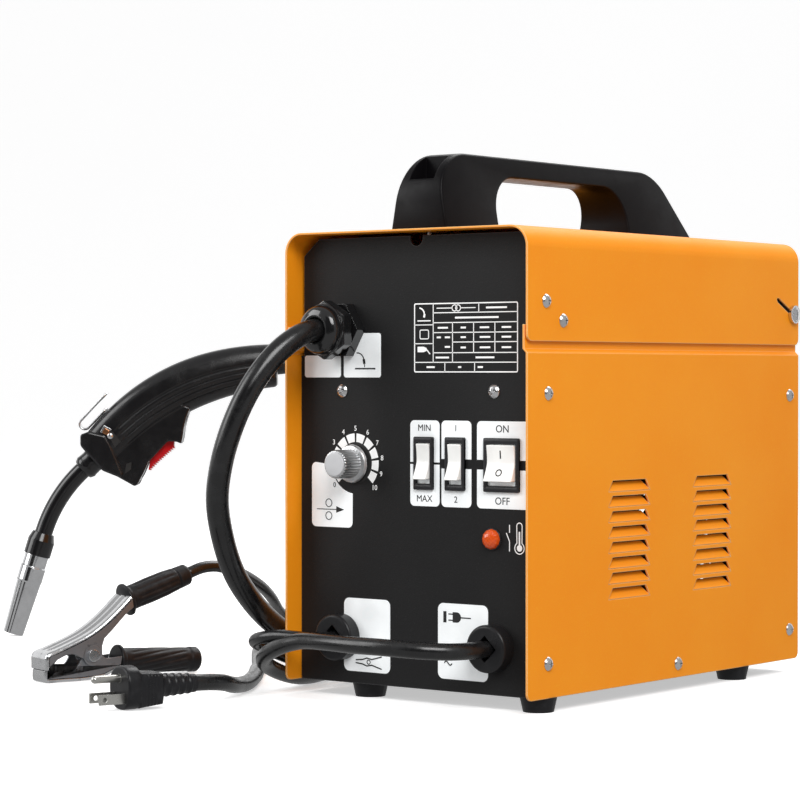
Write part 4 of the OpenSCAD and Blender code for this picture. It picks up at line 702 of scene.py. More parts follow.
def lettering(text, size, at, material):
    """Flat letters on the front panel: at is their centre (x, z) in millimetres."""
    curve = bpy.data.curves.new("letters", "FONT")
    curve.body = text
    curve.size = size * MM
    curve.align_x = "CENTER"
    curve.align_y = "CENTER"
    curve.extrude = PRINT_THICK * MM / 2
    curve.resolution_u = 4
    curve.materials.append(PAINTS[material])
    letters = linked("letters", curve)
    mesh = bpy.data.meshes.new_from_object(letters)
    place = Matrix.Translation(mm(at[0], PANEL_Y - PRINT_LIFT, at[1]))
    mesh.transform(place @ Matrix.Rotation(math.pi / 2, 4, "X"))
    bpy.data.objects.remove(letters)
    made = linked("letters", mesh)
    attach(made, "machine")
    return made


def stroke(points, width, material, lift=0.12, closed=False):
    """A printed line on the front panel through (x, z) points, mitred at its corners."""
    p = np.asarray(points, float)
    if closed:
        before, after = np.roll(p, 1, axis=0), np.roll(p, -1, axis=0)
    else:
        before, after = np.vstack([2 * p[0] - p[1], p[:-1]]), np.vstack([p[1:], 2 * p[-1] - p[-2]])
    a, b = unit(p - before), unit(after - p)
    normal = left_of(a + b)
    normal /= np.maximum(np.linalg.norm(normal, axis=1), 1e-6)[:, None]
    mitre = 1.0 / np.maximum(0.5, (normal * left_of(a)).sum(axis=1))
    offset = normal * (width / 2 * mitre)[:, None]
    n = len(p)
    y = PANEL_Y - lift
    rows = [
        np.stack([edge[:, 0], np.full(n, level), edge[:, 1]], axis=1)
        for level in (y, y - PRINT_THICK)
        for edge in (p + offset, p - offset)
    ]
    faces = []
    for i in range(n if closed else n - 1):
        j = (i + 1) % n
        faces += [
            (i, j, n + j, n + i),
            (2 * n + i, 3 * n + i, 3 * n + j, 2 * n + j),
            (i, 2 * n + i, 2 * n + j, j),
            (n + i, n + j, 3 * n + j, 3 * n + i),
        ]
    if not closed:
        faces += [(0, n, 3 * n, 2 * n), (n - 1, 3 * n - 1, 4 * n - 1, 2 * n - 1)]
    return new_mesh("stroke", np.concatenate(rows), faces, material, "machine", smooth=False)


def printed(outline, material, lift, thick):
    """A printed or stuck-on patch of the front panel with the given (x, z) outline."""
    return prism(outline, PANEL_Y - lift - thick, PANEL_Y - lift, material)


# ---- Settings ----


def in_mm(length):
    """A length setting in millimetres, rounded to a tenth of a micrometre."""
    return round(length / MM, 4)


class WelderPaint(bpy.types.PropertyGroup):
    """Colours of the paints, plastics and rubbers."""

    case: bpy.props.FloatVectorProperty(
        name="Case", description="Powder coat of the cover and the side panels",
        default=(1.0, 0.335, 0.010), min=0.0, max=1.0, subtype="COLOR",
    )
    case_cloud: bpy.props.FloatVectorProperty(
        name="Case clouding", description="Darker clouds in the coat of the case",
        default=(0.98, 0.30, 0.008), min=0.0, max=1.0, subtype="COLOR",
    )
    # The case's edge colour is a painted highlight along its sheet edges.
    case_edge: bpy.props.FloatVectorProperty(
        name="Case edges", description="Paler coat along the sheet edges of the case",
        default=(1.0, 0.78, 0.42), min=0.0, max=1.0, subtype="COLOR",
    )
    panel: bpy.props.FloatVectorProperty(
        name="Panels", description="Powder coat of the front panel, the rear panel and the base tray",
        default=(0.0145, 0.0143, 0.0148), min=0.0, max=1.0, subtype="COLOR",
    )
    panel_cloud: bpy.props.FloatVectorProperty(
        name="Panel clouding", description="Darker clouds in the coat of the panels",
        default=(0.0115, 0.0114, 0.0118), min=0.0, max=1.0, subtype="COLOR",
    )
    # The panels' edge colour is a painted highlight along their sheet edges.
    panel_edge: bpy.props.FloatVectorProperty(
        name="Panel edges", description="Paler coat along the sheet edges of the panels",
        default=(0.13, 0.13, 0.135), min=0.0, max=1.0, subtype="COLOR",
    )
    torch: bpy.props.FloatVectorProperty(
        name="Torch", description="Moulded plastic of the torch handle",
        default=(0.0065, 0.0065, 0.0072), min=0.0, max=1.0, subtype="COLOR",
    )
    trigger: bpy.props.FloatVectorProperty(
        name="Trigger", description="Moulded plastic of the torch trigger",
        default=(0.56, 0.008, 0.012), min=0.0, max=1.0, subtype="COLOR",
    )
    grip: bpy.props.FloatVectorProperty(
        name="Grips", description="Rubber of the clamp grips and the feet",
        default=(0.010, 0.010, 0.0112), min=0.0, max=1.0, subtype="COLOR",
    )
    sheath: bpy.props.FloatVectorProperty(
        name="Cord sheaths", description="Rubber of the torch hose and both leads",
        default=(0.0065, 0.0065, 0.007), min=0.0, max=1.0, subtype="COLOR",
    )


class WelderCords(bpy.types.PropertyGroup):
    """Diameters of the cords."""

    hose: bpy.props.FloatProperty(
        name="Torch hose", description="Outside diameter of the torch hose",
        default=0.0145, min=0.012, max=0.016, precision=4, unit="LENGTH",
    )
    mains: bpy.props.FloatProperty(
        name="Mains lead", description="Outside diameter of the mains lead",
        default=0.0105, min=0.008, max=0.011, precision=4, unit="LENGTH",
    )
    earth: bpy.props.FloatProperty(
        name="Earth lead", description="Outside diameter of the earth lead",
        default=0.008, min=0.006, max=0.009, precision=4, unit="LENGTH",
    )
    smoothness: bpy.props.IntProperty(
        name="Smoothness", description="Points of a cord between two points of its route",
        default=5, min=2, max=10,
    )


class WelderTorch(bpy.types.PropertyGroup):
    """Surface of the torch handle and its trigger."""

    groove: bpy.props.FloatProperty(
        name="Groove depth", description="Depth of the grooves in the sides of the handle",
        default=0.0011, min=0.0, max=0.0012, precision=5, unit="LENGTH",
    )
    teeth: bpy.props.IntProperty(
        name="Trigger teeth", description="Number of teeth along the trigger",
        default=14, min=6, max=20,
    )


class WelderCase(bpy.types.PropertyGroup):
    """Details of the handle and the knob."""

    handle_edge: bpy.props.FloatProperty(
        name="Handle edges", description="Radius of the rounded edges of the carry handle",
        default=0.0016, min=0.0005, max=0.005, precision=5, unit="LENGTH",
    )
    flutes: bpy.props.IntProperty(
        name="Knob flutes", description="Number of flutes round the speed knob",
        default=28, min=12, max=40,
    )


class WelderPrint(bpy.types.PropertyGroup):
    """What is printed on the front panel."""

    line: bpy.props.FloatProperty(
        name="Line width", description="Width of the rules of the data table",
        default=0.00055, min=0.0003, max=0.0012, precision=5, unit="LENGTH",
    )
    figures: bpy.props.FloatProperty(
        name="Dial figures", description="Height of the figures round the dial",
        default=0.0046, min=0.003, max=0.006, precision=4, unit="LENGTH",
    )


class WelderStage(bpy.types.PropertyGroup):
    """Light and floor of the studio."""

    key: bpy.props.FloatProperty(
        name="Key light", description="Power of the main lamp",
        default=45.0, min=1.0, max=500.0, unit="POWER",
    )
    fill: bpy.props.FloatProperty(
        name="Fill lights", description="Power of each of the two weaker lamps",
        default=25.0, min=0.0, max=500.0, unit="POWER",
    )
    glow: bpy.props.FloatProperty(
        name="Paper glow", description="How far the paper shines by itself towards the camera",
        default=0.5, min=0.0, max=1.0, subtype="FACTOR",
    )
    world: bpy.props.FloatProperty(
        name="Surroundings", description="Strength of the light from all round",
        default=0.45, min=0.0, max=3.0,
    )


# ---- Cords ----

HOSE_FRONT = (
    (-60, -139, 224), (-60, -155, 224), (-60, -171, 224), (-62, -184, 221), (-67, -198, 212),
    (-73, -210, 198), (-79, -219, 181), (-86, -224, 161), (-93, -225, 140), (-100, -221, 117),
    (-105, -210, 92), (-109, -195, 70), (-111, -178, 53), (-112, -160, 39), (-112, -138, 26),
    (-112, -113, 13), (-111, -87, 4), (-111, -60, -1), (-111, -30, -1.65), (-111, 0, -1.65),
    (-111, 30, -1.65), (-112, 60, -1.65), (-119, 95, -1.65), (-131, 130, -1.65), (-142.6, 165, -1.65),
    (-152.7, 196, -1.65), (-155.3, 207, -1.65), (-156.1, 218, -1.65), (-155.22, 228.84, -1.65),
)
HOSE_BACK = (
    (-115.1, 176.56, 13.65), (-135, 179, 13.65), (-152, 181, 13.65), (-172, 183, 9.5), (-193, 185, 4),
    (-214, 187, 2.5), (-233, 188, 10), (-249, 189, 28), (-258, 189, 52), (-263, 188, 75), (-268, 186, 98),
    (-273, 183, 121), (-280, 179, 142), (-288, 174, 161), (-298, 167, 178), (-311, 158, 191),
    (-326, 147.6, 200), (-339.36, 138.15, 203.88), (-351.14, 128.95, 202.67),
)
MAINS_FRONT = (
    (60, -141, 29), (60, -163, 29), (54, -182, 29), (39, -196, 30), (18, -202, 31), (-8, -202, 31),
    (-34, -198, 31), (-54, -193, 30), (-72, -190, 26), (-91, -184, 19), (-106, -169, 11), (-112, -148, 3),
    (-115, -127, -2), (-119, -108, -3.65), (-124, -88, -3.65), (-127, -65, -3.65), (-127, -40, -3.65),
    (-126.5, -10, -3.65), (-124.88, 16.75, -3.65),
)
MAINS_PLUG = (
    (-244.09, 2.07, 7.65), (-241.5, -10, 6.5), (-236, -22, 3), (-228, -34, -1), (-216, -48, -3.65),
    (-201, -65, -3.65), (-184, -84, -3.65), (-169, -104, -3.65), (-153, -124, -3.65), (-139, -143, -3.65),
    (-126, -163, -3.65), (-115, -184, -2.5), (-105.9, -201.7, 0), (-101.9, -213.5, 2.5), (-101.2, -226, 4),
    (-103.34, -237.39, 4.5), (-107.25, -248.73, 4.5),
)
EARTH = (
    (-60, -141, 29), (-60, -156, 29), (-62, -165, 29), (-68, -171, 29), (-77, -173, 29.5),
    (-90, -174, 29.5), (-102, -174, 28), (-111, -171, 26), (-117, -166, 23.5), (-119, -157, 20),
    (-117, -146, 15), (-111, -135, 10), (-105, -124, 5), (-101, -108, 0), (-99.5, -90, -3.5),
    (-99.5, -65, -4.9), (-99.5, -40, -4.9), (-99.5, -15, -4.9), (-99.5, 10, -4.9), (-99.5, 35, -4.9),
    (-99.5, 60, -4.9), (-101, 80, -2), (-104, 93, 4), (-110, 101, 10.5), (-120, 108, 11), (-131, 113, 10.5),
    (-143, 116, 4), (-156, 118, -3), (-172, 119, -4.9), (-195, 119, -4.9), (-220, 115, -4.9),
    (-243, 105, -4.9), (-258, 90, -2), (-267, 71, 4), (-268, 50, 12), (-262, 28, 22), (-250, 6, 33),
    (-238, -18, 43), (-229, -43, 52), (-224, -66, 59), (-224.6, -84, 63), (-227.47, -95.42, 62.37),
    (-230.95, -106.13, 58.69),
)

LEAD_LAYER = 0.8
FLOOR_HOSE, FLOOR_MAINS = -1.65, -3.65


def coil_points(centre, z, radius, step, turns, start, way, diameter):
    """The lying coil of the CAD model: in on the floor for half its turns, then out again one layer up.

    At turn t its radius is radius - step * t before the middle and radius - step * (turns - t) after
    it, and its height is z + step * clamp((t - turns / 2) / 0.5 + 0.5, 0, 1). One diameter is added
    straight on at both ends.
    """
    t = np.arange(round(turns * 24) + 1) / 24
    r = np.where(t < turns / 2, radius - step * t, radius - step * (turns - t))
    a = np.radians(start + way * 360 * t)
    lift = step * np.clip((t - turns / 2) / 0.5 + 0.5, 0, 1)
    p = np.stack([centre[0] + r * np.cos(a), centre[1] + r * np.sin(a), z + lift], axis=1)
    first, last = p[0] - p[1], p[-1] - p[-2]
    first *= diameter / np.linalg.norm(first)
    last *= diameter / np.linalg.norm(last)
    return np.vstack([p[0] + first, p, p[-1] + last])


def cord_curve(name, route, diameter, fineness):
    """A round cord on one smooth spline through its route, in millimetres."""
    points = smooth_path(route, fineness) * MM
    curve = bpy.data.curves.new(name, "CURVE")
    curve.dimensions = "3D"
    curve.bevel_depth = diameter * MM / 2
    curve.bevel_resolution = 6
    curve.use_fill_caps = True
    spline = curve.splines.new("POLY")
    spline.points.add(len(points) - 1)
    spline.points.foreach_set("co", np.hstack([points, np.ones((len(points), 1))]).ravel())
    spline.use_smooth = True
    curve.materials.append(PAINTS["sheath"])
    made = linked(name, curve)
    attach(made, "machine")
    return made


def make_cords(settings):
    """The torch hose and the mains lead, each a curve over its CAD route, and the earth lead as a tube."""
    hose, mains, fineness = in_mm(settings.hose), in_mm(settings.mains), settings.smoothness
    hose_coil = coil_points((-67, 255), FLOOR_HOSE, 84, hose + LEAD_LAYER, 43 / 24, 180, -1, hose)
    mains_coil = coil_points((-188, 36), FLOOR_MAINS, 60, mains + LEAD_LAYER, 61 / 24, 0, 1, mains)
    made = cord_curve("hose_curve", np.vstack([HOSE_FRONT, hose_coil, HOSE_BACK]), hose, fineness)
    dressed(made, "cord_rubber", "torch_hose", "torch_hose_coil")
    made = cord_curve("mains_curve", np.vstack([MAINS_FRONT, mains_coil, MAINS_PLUG]), mains, fineness)
    dressed(made, "cord_rubber", "mains_lead", "mains_lead_coil")
    # The earth lead's end climbs to the upper grip, and follows it when the clamp opens.
    earth = swept("earth_lead_tube", smooth_path(EARTH, fineness), in_mm(settings.earth) / 2, "sheath", None)
    dressed(earth, "cord_rubber", "earth_lead")
    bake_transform(earth, "machine", "clamp_upper", (0, 0, 0.034), (0, 0, 0.060))


def declare_cords(settings):
    """Reads the points along each cord; nothing is done with them."""
    torch_end = ("torch_neck", "torch_insulator", "torch_nozzle", "contact_tip")
    facts = (
        ("hose_curve", in_mm(settings.hose), "tool", "stiff", "coiled", torch_end),
        ("mains_curve", in_mm(settings.mains), "plug", "medium", "coiled", ("plug_",)),
        ("earth_lead_tube", in_mm(settings.earth), "tool", "limp", "loose", ("clamp_",)),
    )
    for name, diameter, far_end, stiffness, lay, starts in facts:
        cord = bpy.data.objects[name]
        if cord.type == "MESH":
            points = smooth_path(EARTH, settings.smoothness) * MM
        else:
            points = np.array([p.co[:3] for p in cord.data.splines[0].points])


# ---- Camera, light and floor ----

CAMERA_AT = (1.03745, -1.48915, 0.1969)
CAMERA_TURN = (90 - 0.571, 0, 38.049)
PAPER_BEND = 2.0
PAPER_HALF = 14
PAPER_NEAR, PAPER_FAR = -9.0, 4.0


def area_light(name, at, towards, size, watts):
    """A soft white rectangular light at a place, facing another."""
    light = bpy.data.lights.new(name, "AREA")
    light.shape = "RECTANGLE"
    light.size, light.size_y = size
    light.energy = watts
    made = linked(name, light)
    made.location = at
    made.rotation_euler = (Vector(towards) - Vector(at)).to_track_quat("-Z", "Y").to_euler()


def stage_sheet(name, verts, faces, material):
    """A sheet of the studio, such as its paper or a card."""
    mesh = bpy.data.meshes.new(name)
    mesh.from_pydata(verts, [], faces)
    mesh.polygons.foreach_set("use_smooth", [True] * len(mesh.polygons))
    mesh.materials.append(material)
    made = linked(name, mesh)
    return made


def make_camera():
    """The camera, at its fixed place, turn and focal length."""
    scene = bpy.context.scene
    scene.view_settings.view_transform = "Standard"
    camera = bpy.data.cameras.new("camera")
    camera.lens = 122.5
    camera.sensor_width = 36.0
    scene.camera = linked("camera", camera)
    scene.camera.location = CAMERA_AT
    scene.camera.rotation_euler = [math.radians(turn) for turn in CAMERA_TURN]


def make_paper(glow):
    """The paper under and behind the machine, curved up far in front and far behind it.

    The near part isn't seen in reflections, so it doesn't wash out the dark pieces.
    """
    bends = np.linspace(0, math.pi / 2, 16)

    def curved(reach, way):
        """Points of the bend that begins at reach."""
        side = way * PAPER_BEND
        return [(reach + side * math.sin(t), FLOOR + PAPER_BEND * (1 - math.cos(t))) for t in bends]

    line = curved(PAPER_NEAR, -1)[::-1] + [(reach, FLOOR) for reach in (-5.0, -2.0, 0.0, 1.0, 2.5, 4.0)]
    line += [*curved(PAPER_FAR, 1)[1:], (PAPER_FAR + PAPER_BEND, 5.0)]
    p = Paint("paper", roughness=0.6, emission_strength=glow)
    p.tint(p.noise(2.0), (0.93, 0.93, 0.93), (0.90, 0.90, 0.905))
    p.set("Emission Color", (1.0, 1.0, 1.0, 1.0))
    view = Vector((-math.sin(math.radians(38)), math.cos(math.radians(38)), 0))
    across = Vector((view.y, -view.x, 0))
    for name, part in (("paper_front", line[:20]), ("paper_back", line[19:])):
        verts = [
            view * reach + across * side + Vector((0, 0, z))
            for reach, z in part
            for side in (-PAPER_HALF, PAPER_HALF)
        ]
        paper = stage_sheet(name, verts, grid_faces(len(part), 2), p.material)
        paper.visible_diffuse = False
        paper.visible_glossy = name == "paper_back"


def make_cards():
    """Two dark cards, seen only in reflections, that give the chrome and the gloss their dark bands."""
    p = Paint("dark_card", roughness=0.9)
    p.tint(p.noise(3.0), (0.012, 0.012, 0.012), (0.02, 0.02, 0.02))
    for name, turn, half, far in (("card_front", -62.0, 2.1, 2.9), ("card_left", -128.0, 0.30, 2.6)):
        way = Vector((*heading(turn), 0))
        along = Vector((-way.y, way.x, 0))
        verts = [way * far + along * side + Vector((0, 0, z)) for z in (-0.2, 2.4) for side in (-half, half)]
        card = stage_sheet(name, verts, [(0, 1, 3, 2)], p.material)
        card.visible_camera = card.visible_shadow = card.visible_diffuse = False


def make_stage(settings):
    """Camera, pale paper, soft light and surroundings."""
    make_camera()
    make_paper(settings.glow)
    make_cards()
    area_light("key", (1.5, -1.4, 1.7), (0.0, 0.0, 0.15), (1.4, 1.2), settings.key)
    area_light("left_fill", (-1.6, -1.5, 1.1), (-0.2, 0.0, 0.15), (1.2, 1.6), settings.fill)
    area_light("top_back", (-0.2, 1.2, 1.8), (0.0, 0.0, 0.25), (1.6, 1.0), settings.fill)
    world = bpy.data.worlds.new("surroundings")
    world.use_nodes = True
    back = world.node_tree.nodes["Background"]
    back.inputs[0].default_value = (1.0, 1.0, 1.0, 1.0)
    back.inputs[1].default_value = settings.world
    bpy.context.scene.world = world


# ---- Print on the front panel ----

DIAL = (-50.2, 139.3)
DIAL_PRINT = (-48.7, 139.8)
DIAL_STEP = 27.0
SWITCH_Z = 140.7
# Each switch's middle, the widths of its rocker and its bezel, and half the width of the opening.
SWITCHES = {
    "min_max": (6.4, 10.0, 15.0, 5.3),
    "one_two": (30.8, 10.0, 15.0, 5.3),
    "mains": (66.2, 21.0, 26.6, 10.8),
}
black = partial(stroke, material="ink_black", lift=PRINT_LIFT)
white = partial(stroke, material="ink_white", lift=PRINT_LIFT)
black_shape = partial(printed, material="ink_black", lift=0.12, thick=PRINT_THICK)


def dial_angle(figure):
    """Direction of a dial figure, in degrees: 0 stands at 225 and 10 at -45."""
    return 225.0 - DIAL_STEP * figure


def framed_patch(outline):
    """A white patch with a fine dark line round it, as screen print leaves on powder coat."""
    centre = np.mean(np.asarray(outline), axis=0)
    grown = []
    for point in np.asarray(outline):
        out = point - centre
        grown.append(tuple(centre + out * (1 + 0.7 / max(8.0, np.linalg.norm(out)))))
    return [printed(grown, "ink_black", 0.0, 0.05), printed(outline, "label", 0.0, 0.12)]


def framed_box(*sides_and_radius):
    """A framed patch with rounded corners."""
    return framed_patch(round_box(*sides_and_radius)[::-1])


def dial_print(settings):
    """Ring of ten segments round the knob, with the figures 0 to 10, on a black disc that is the knob's
    painted shadow.
    """
    # The black disc round the knob's foot is its painted shadow.
    parts = [printed(arc(*DIAL_PRINT, 13.2, 0, 352.5, 46), "ink_black", 0.0, 0.06)]
    for i in range(10):
        high, low = dial_angle(i) - 2.6, dial_angle(i + 1) + 2.6
        outline = arc(*DIAL_PRINT, 13.3, high, low, 6) + arc(*DIAL_PRINT, 18.7, low, high, 6)
        parts.append(printed(outline, "ink_white", 0.06, PRINT_THICK))
    for figure in range(11):
        # The 0 stands on the feed plate, so it is black and a little further out.
        turn, far, ink = (5, 22.4, "ink_black") if figure == 0 else (0, 21.8, "ink_white")
        at = DIAL_PRINT + far * heading(dial_angle(figure) - turn)
        parts.append(lettering(str(figure), in_mm(settings.figures), at, ink))
    return joined("dial_print", parts)


def feed_plate():
    """Plate beside the dial with the wire feed sign: two rollers and an arrow between them."""
    left, right, low, high, r = -84.7, -51.2, 98.5, 139.7, 3.4
    outline = arc(left + r, low + r, r, 180, 270, 5) + arc(right - r, low + r, r, 270, 360, 5)
    outline += arc(*DIAL_PRINT, 19.6, -97, -176, 12) + arc(left + r, high - r, r, 90, 180, 5)
    parts = framed_patch(outline)
    parts += [black(arc(-70.6, z, 2.5, 0, 345, 23), 0.5, closed=True) for z in (113.9, 105.7)]
    parts.append(black([(-80.5, 109.8), (-63.5, 109.8)], 0.5))
    parts.append(black_shape([(-64.5, 107.7), (-58.0, 109.8), (-64.5, 111.9)]))
    return joined("feed_print", parts)


def switch_plate(name, left, right, gap, words, at, size):
    """White patches above and below a switch, with its two words."""
    r, top, bottom = 3.0, 167.4, 114.0
    high = arc(right - r, top - r, r, 0, 90, 5) + arc(left + r, top - r, r, 90, 180, 5)
    high = [(right, SWITCH_Z + gap), *high, (left, SWITCH_Z + gap)]
    low = arc(left + r, bottom + r, r, 180, 270, 5) + arc(right - r, bottom + r, r, 270, 360, 5)
    low = [(left, SWITCH_Z - gap), *low, (right, SWITCH_Z - gap)]
    parts = framed_patch(high[::-1]) + framed_patch(low[::-1])
    parts += [lettering(word, size, (at, z), "ink_black") for word, z in zip(words, (162.6, 118.6))]
    return joined(name, parts)


def lead_plates():
    """Plates beside the cord bushes, with the signs of an earth clamp and of a mains plug."""
    parts = framed_box(-58.1, -20.8, 7.6, 54.0, 4.0)
    half_jaw = ((-48.5, 0.9), (-43.0, 1.4), (-39.5, 2.5), (-35.5, 1.8), (-27.5, 3.9))
    parts += [black([(x, 14.0 + side * z) for x, z in half_jaw], 0.75) for side in (-1, 1)]
    parts.append(black(arc(-38.0, 14.0, 1.3, 0, 340, 12), 0.5, lift=0.22, closed=True))
    parts += framed_box(17.0, 55.4, 7.7, 54.5, 4.0)
    parts.append(black_shape([(21.2, 42.6), (23.6, 42.6), (23.6, 49.6), (21.2, 49.6)]))
    parts += [black([(25.2, z), (28.6, z)], 0.7) for z in (44.2, 48.0)]
    body = [(28.4, 42.9), (31.6, 42.9), *arc(31.6, 46.1, 3.2, -80, 80, 10), (31.6, 49.3), (28.4, 49.3)]
    parts.append(black_shape(body))
    parts.append(black([(34.6, 46.1), (42.4, 46.1)], 0.7))
    parts.append(black([(22.0 + i * 0.5, 17.5 + 1.2 * math.sin(i * math.pi / 6)) for i in range(13)], 0.7))
    return joined("bush_print", parts)


def torch_plates():
    """Plates under the gland: one bare, one with the sign of a torch over a workpiece."""
    parts = framed_box(-90.6, -60.7, 194.0, 208.0, 1.8) + framed_box(-58.3, -28.2, 194.0, 222.0, 1.8)
    parts.append(black([(-49.0, 199.6), (-32.6, 199.6)], 0.9))
    parts.append(black(arc(-47.2, 204.0, 5.6, 96, 18), 0.7))
    parts.append(black([(-41.9, 205.6), (-41.4, 202.6)], 1.9))
    parts.append(black([(-41.3, 202.4), (-41.2, 200.6)], 0.5, lift=0.22))
    return joined("gland_print", parts)


# The data table, in shares of its width from the left and of its height from the top: its rules as
# (start, end), and the dashes in its text cells as (across, down, length).
TABLE = (-1.3, 77.5, 197.5, 239.8)
TABLE_RULES = (
    ((0.185, 0), (0.185, 0.86)), ((0.185, 0.135), (1, 0.135)), ((0.185, 0.28), (1, 0.28)),
    ((0.63, 0), (0.63, 0.135)), ((0, 0.31), (0.185, 0.31)), ((0, 0.585), (0.185, 0.585)),
    ((0, 0.86), (1, 0.86)), ((0.375, 0.28), (0.375, 0.86)), ((0.58, 0.28), (0.58, 0.72)),
    ((0.785, 0.28), (0.785, 0.72)), ((0.185, 0.425), (1, 0.425)), ((0.375, 0.565), (1, 0.565)),
    ((0.185, 0.72), (1, 0.72)), ((0.3, 0.86), (0.3, 1)), ((0.59, 0.86), (0.59, 1)),
)
TABLE_DASHES = (
    (0.70, 0.07, 0.2), (0.40, 0.21, 0.42), (0.23, 0.355, 0.1), (0.455, 0.355, 0.05), (0.64, 0.355, 0.09),
    (0.85, 0.355, 0.09), (0.22, 0.495, 0.04), (0.30, 0.495, 0.05), (0.455, 0.495, 0.05), (0.64, 0.495, 0.1),
    (0.85, 0.495, 0.09), (0.455, 0.645, 0.05), (0.64, 0.645, 0.1), (0.85, 0.645, 0.09), (0.21, 0.79, 0.13),
    (0.60, 0.79, 0.18), (0.12, 0.93, 0.08), (0.43, 0.93, 0.03), (0.62, 0.93, 0.05), (0.30, 0.635, 0.05),
)


def on_table(*shares):
    """Points (x, z) of the front panel from shares of the data table."""
    left, right, low, high = TABLE
    return [(left + u * (right - left), high - v * (high - low)) for u, v in shares]


def data_table(settings):
    """Ruled table with plain signs; its text cells hold only dashes of different lengths."""
    line = in_mm(settings.line)
    parts = [stroke(round_box(*TABLE, 0.8, 3), line * 1.3, "ink_white", closed=True)]
    parts += [stroke(on_table(*rule), line, "ink_white") for rule in TABLE_RULES]
    parts += [stroke(on_table((u, v), (u + long, v)), 1.1, "ink_white") for u, v, long in TABLE_DASHES]
    for ring in on_table((0.395, 0.068), (0.43, 0.068)):
        parts.append(white(arc(*ring, 1.9, 0, 345, 20), line, closed=True))
    parts.append(white(on_table((0.22, 0.068), (0.37, 0.068)), line))
    parts.append(white(on_table((0.455, 0.068), (0.60, 0.068)), line))
    parts.append(white(arc(*on_table((0.045, 0.16))[0], 4.2, 85, 5), 0.9))
    parts.append(white(on_table((0.10, 0.15), (0.095, 0.20)), 1.4))
    parts.append(white(on_table((0.03, 0.25), (0.16, 0.25)), 0.7))
    (x0, z0), (x1, z1) = on_table((0.055, 0.515), (0.14, 0.385))
    parts.append(white(round_box(x0, x1, z0, z1, 0.9, 3), 0.6, closed=True))
    plug = on_table((0.03, 0.63), (0.03, 0.71), (0.09, 0.71), (0.12, 0.69), (0.12, 0.65), (0.09, 0.63))
    parts.append(printed(plug, "ink_white", 0.1, PRINT_THICK))
    parts.append(white(on_table((0.12, 0.67), (0.155, 0.74)), 0.7))
    return joined("table_print", parts)


def heat_sign():
    """Thermometer and open contact beside the overheat lamp."""
    x, contact = 79.0, 71.6
    tube = arc(x, 90.6, 3.5, 122, 418, 18) + arc(x, 104.0, 2.0, 0, 180)
    parts = [stroke(tube, 0.6, "ink_white", closed=True)]
    parts.append(printed(arc(x, 90.6, 2.0, 0, 345, 20), "ink_white", 0.0, 0.12))
    parts.append(stroke([(x, 91.0), (x, 100.6)], 1.1, "ink_white"))
    for low, far, high in ((88.5, contact, 94.5), (94.5, 69.2, 99.6), (99.8, contact, 104.6)):
        parts.append(stroke([(contact, low), (far, high)], 0.6, "ink_white"))
    return joined("heat_print", parts)


def make_print(settings):
    """Everything printed on the front panel."""
    made = [
        dial_print(settings),
        feed_plate(),
        switch_plate("min_max_print", -4.7, 18.2, 0.7, ("MIN", "MAX"), SWITCHES["min_max"][0], 5.8),
        switch_plate("one_two_print", 19.7, 42.7, 3.0, ("1", "2"), SWITCHES["one_two"][0], 5.6),
        switch_plate("on_off_print", 47.0, 92.0, 3.0, ("ON", "OFF"), SWITCHES["mains"][0], 6.4),
        lead_plates(),
        torch_plates(),
        data_table(settings),
        heat_sign(),
    ]
    for piece in made:
        dressed(piece, "rocker_white")


# ---- Torch ----

SHELL_START = np.array([-237.845, 130.665])
NECK_DIR = 43.0
GUARD = (
    (2, 0), (10.4, -10.6), (31, -22), (33.4, -21), (35.6, -16.4), (38, -12), (42, -3), (57, 13), (64, 12.5),
    (67.5, 11), (68.6, 16), (69.5, 23), (71.4, 31), (74.5, 39), (60, 45), (20, 15),
)
GUARD_MIDDLE = (
    (2, 0), (10.4, -10.6), (31, -22), (36, -16), (30, -2), (50, 28), (65, 28), (66.3, 12), (67.5, 11),
    (69.5, 23), (74.5, 39), (60, 45), (20, 15),
)
NOSE = (
    (-11, 9.5), (-11, 18.2), (-4.5, 20.6), (8.2, 17.6), (13.5, 8.5), (22.5, -12.8), (20.5, -15.6), (6, -9.8),
)
GUARD_HALF = 12.0
TRIGGER_HALF = 4.5
SEAM = 0.08


def torch_plate(offsets, low, high, material, edge=(), body="machine"):
    """A plate across the torch, with its outline given from the front end of the handle."""
    return prism([tuple(SHELL_START + o) for o in offsets], low, high, material, body, TORCH, edge=edge)


def shell_line(t):
    """Middle line of the handle, the cubic Bezier curve through its four points at t from 0 to 1."""
    tail = SHELL_START + (141.5, 72.0)
    first = SHELL_START + 58.0 * heading(NECK_DIR + 8)
    t = np.asarray(t, float)[:, None]
    s = 1 - t
    return s**3 * SHELL_START + 3 * s**2 * t * first + 3 * s * t**2 * (tail - (60.0, 3.0)) + t**3 * tail


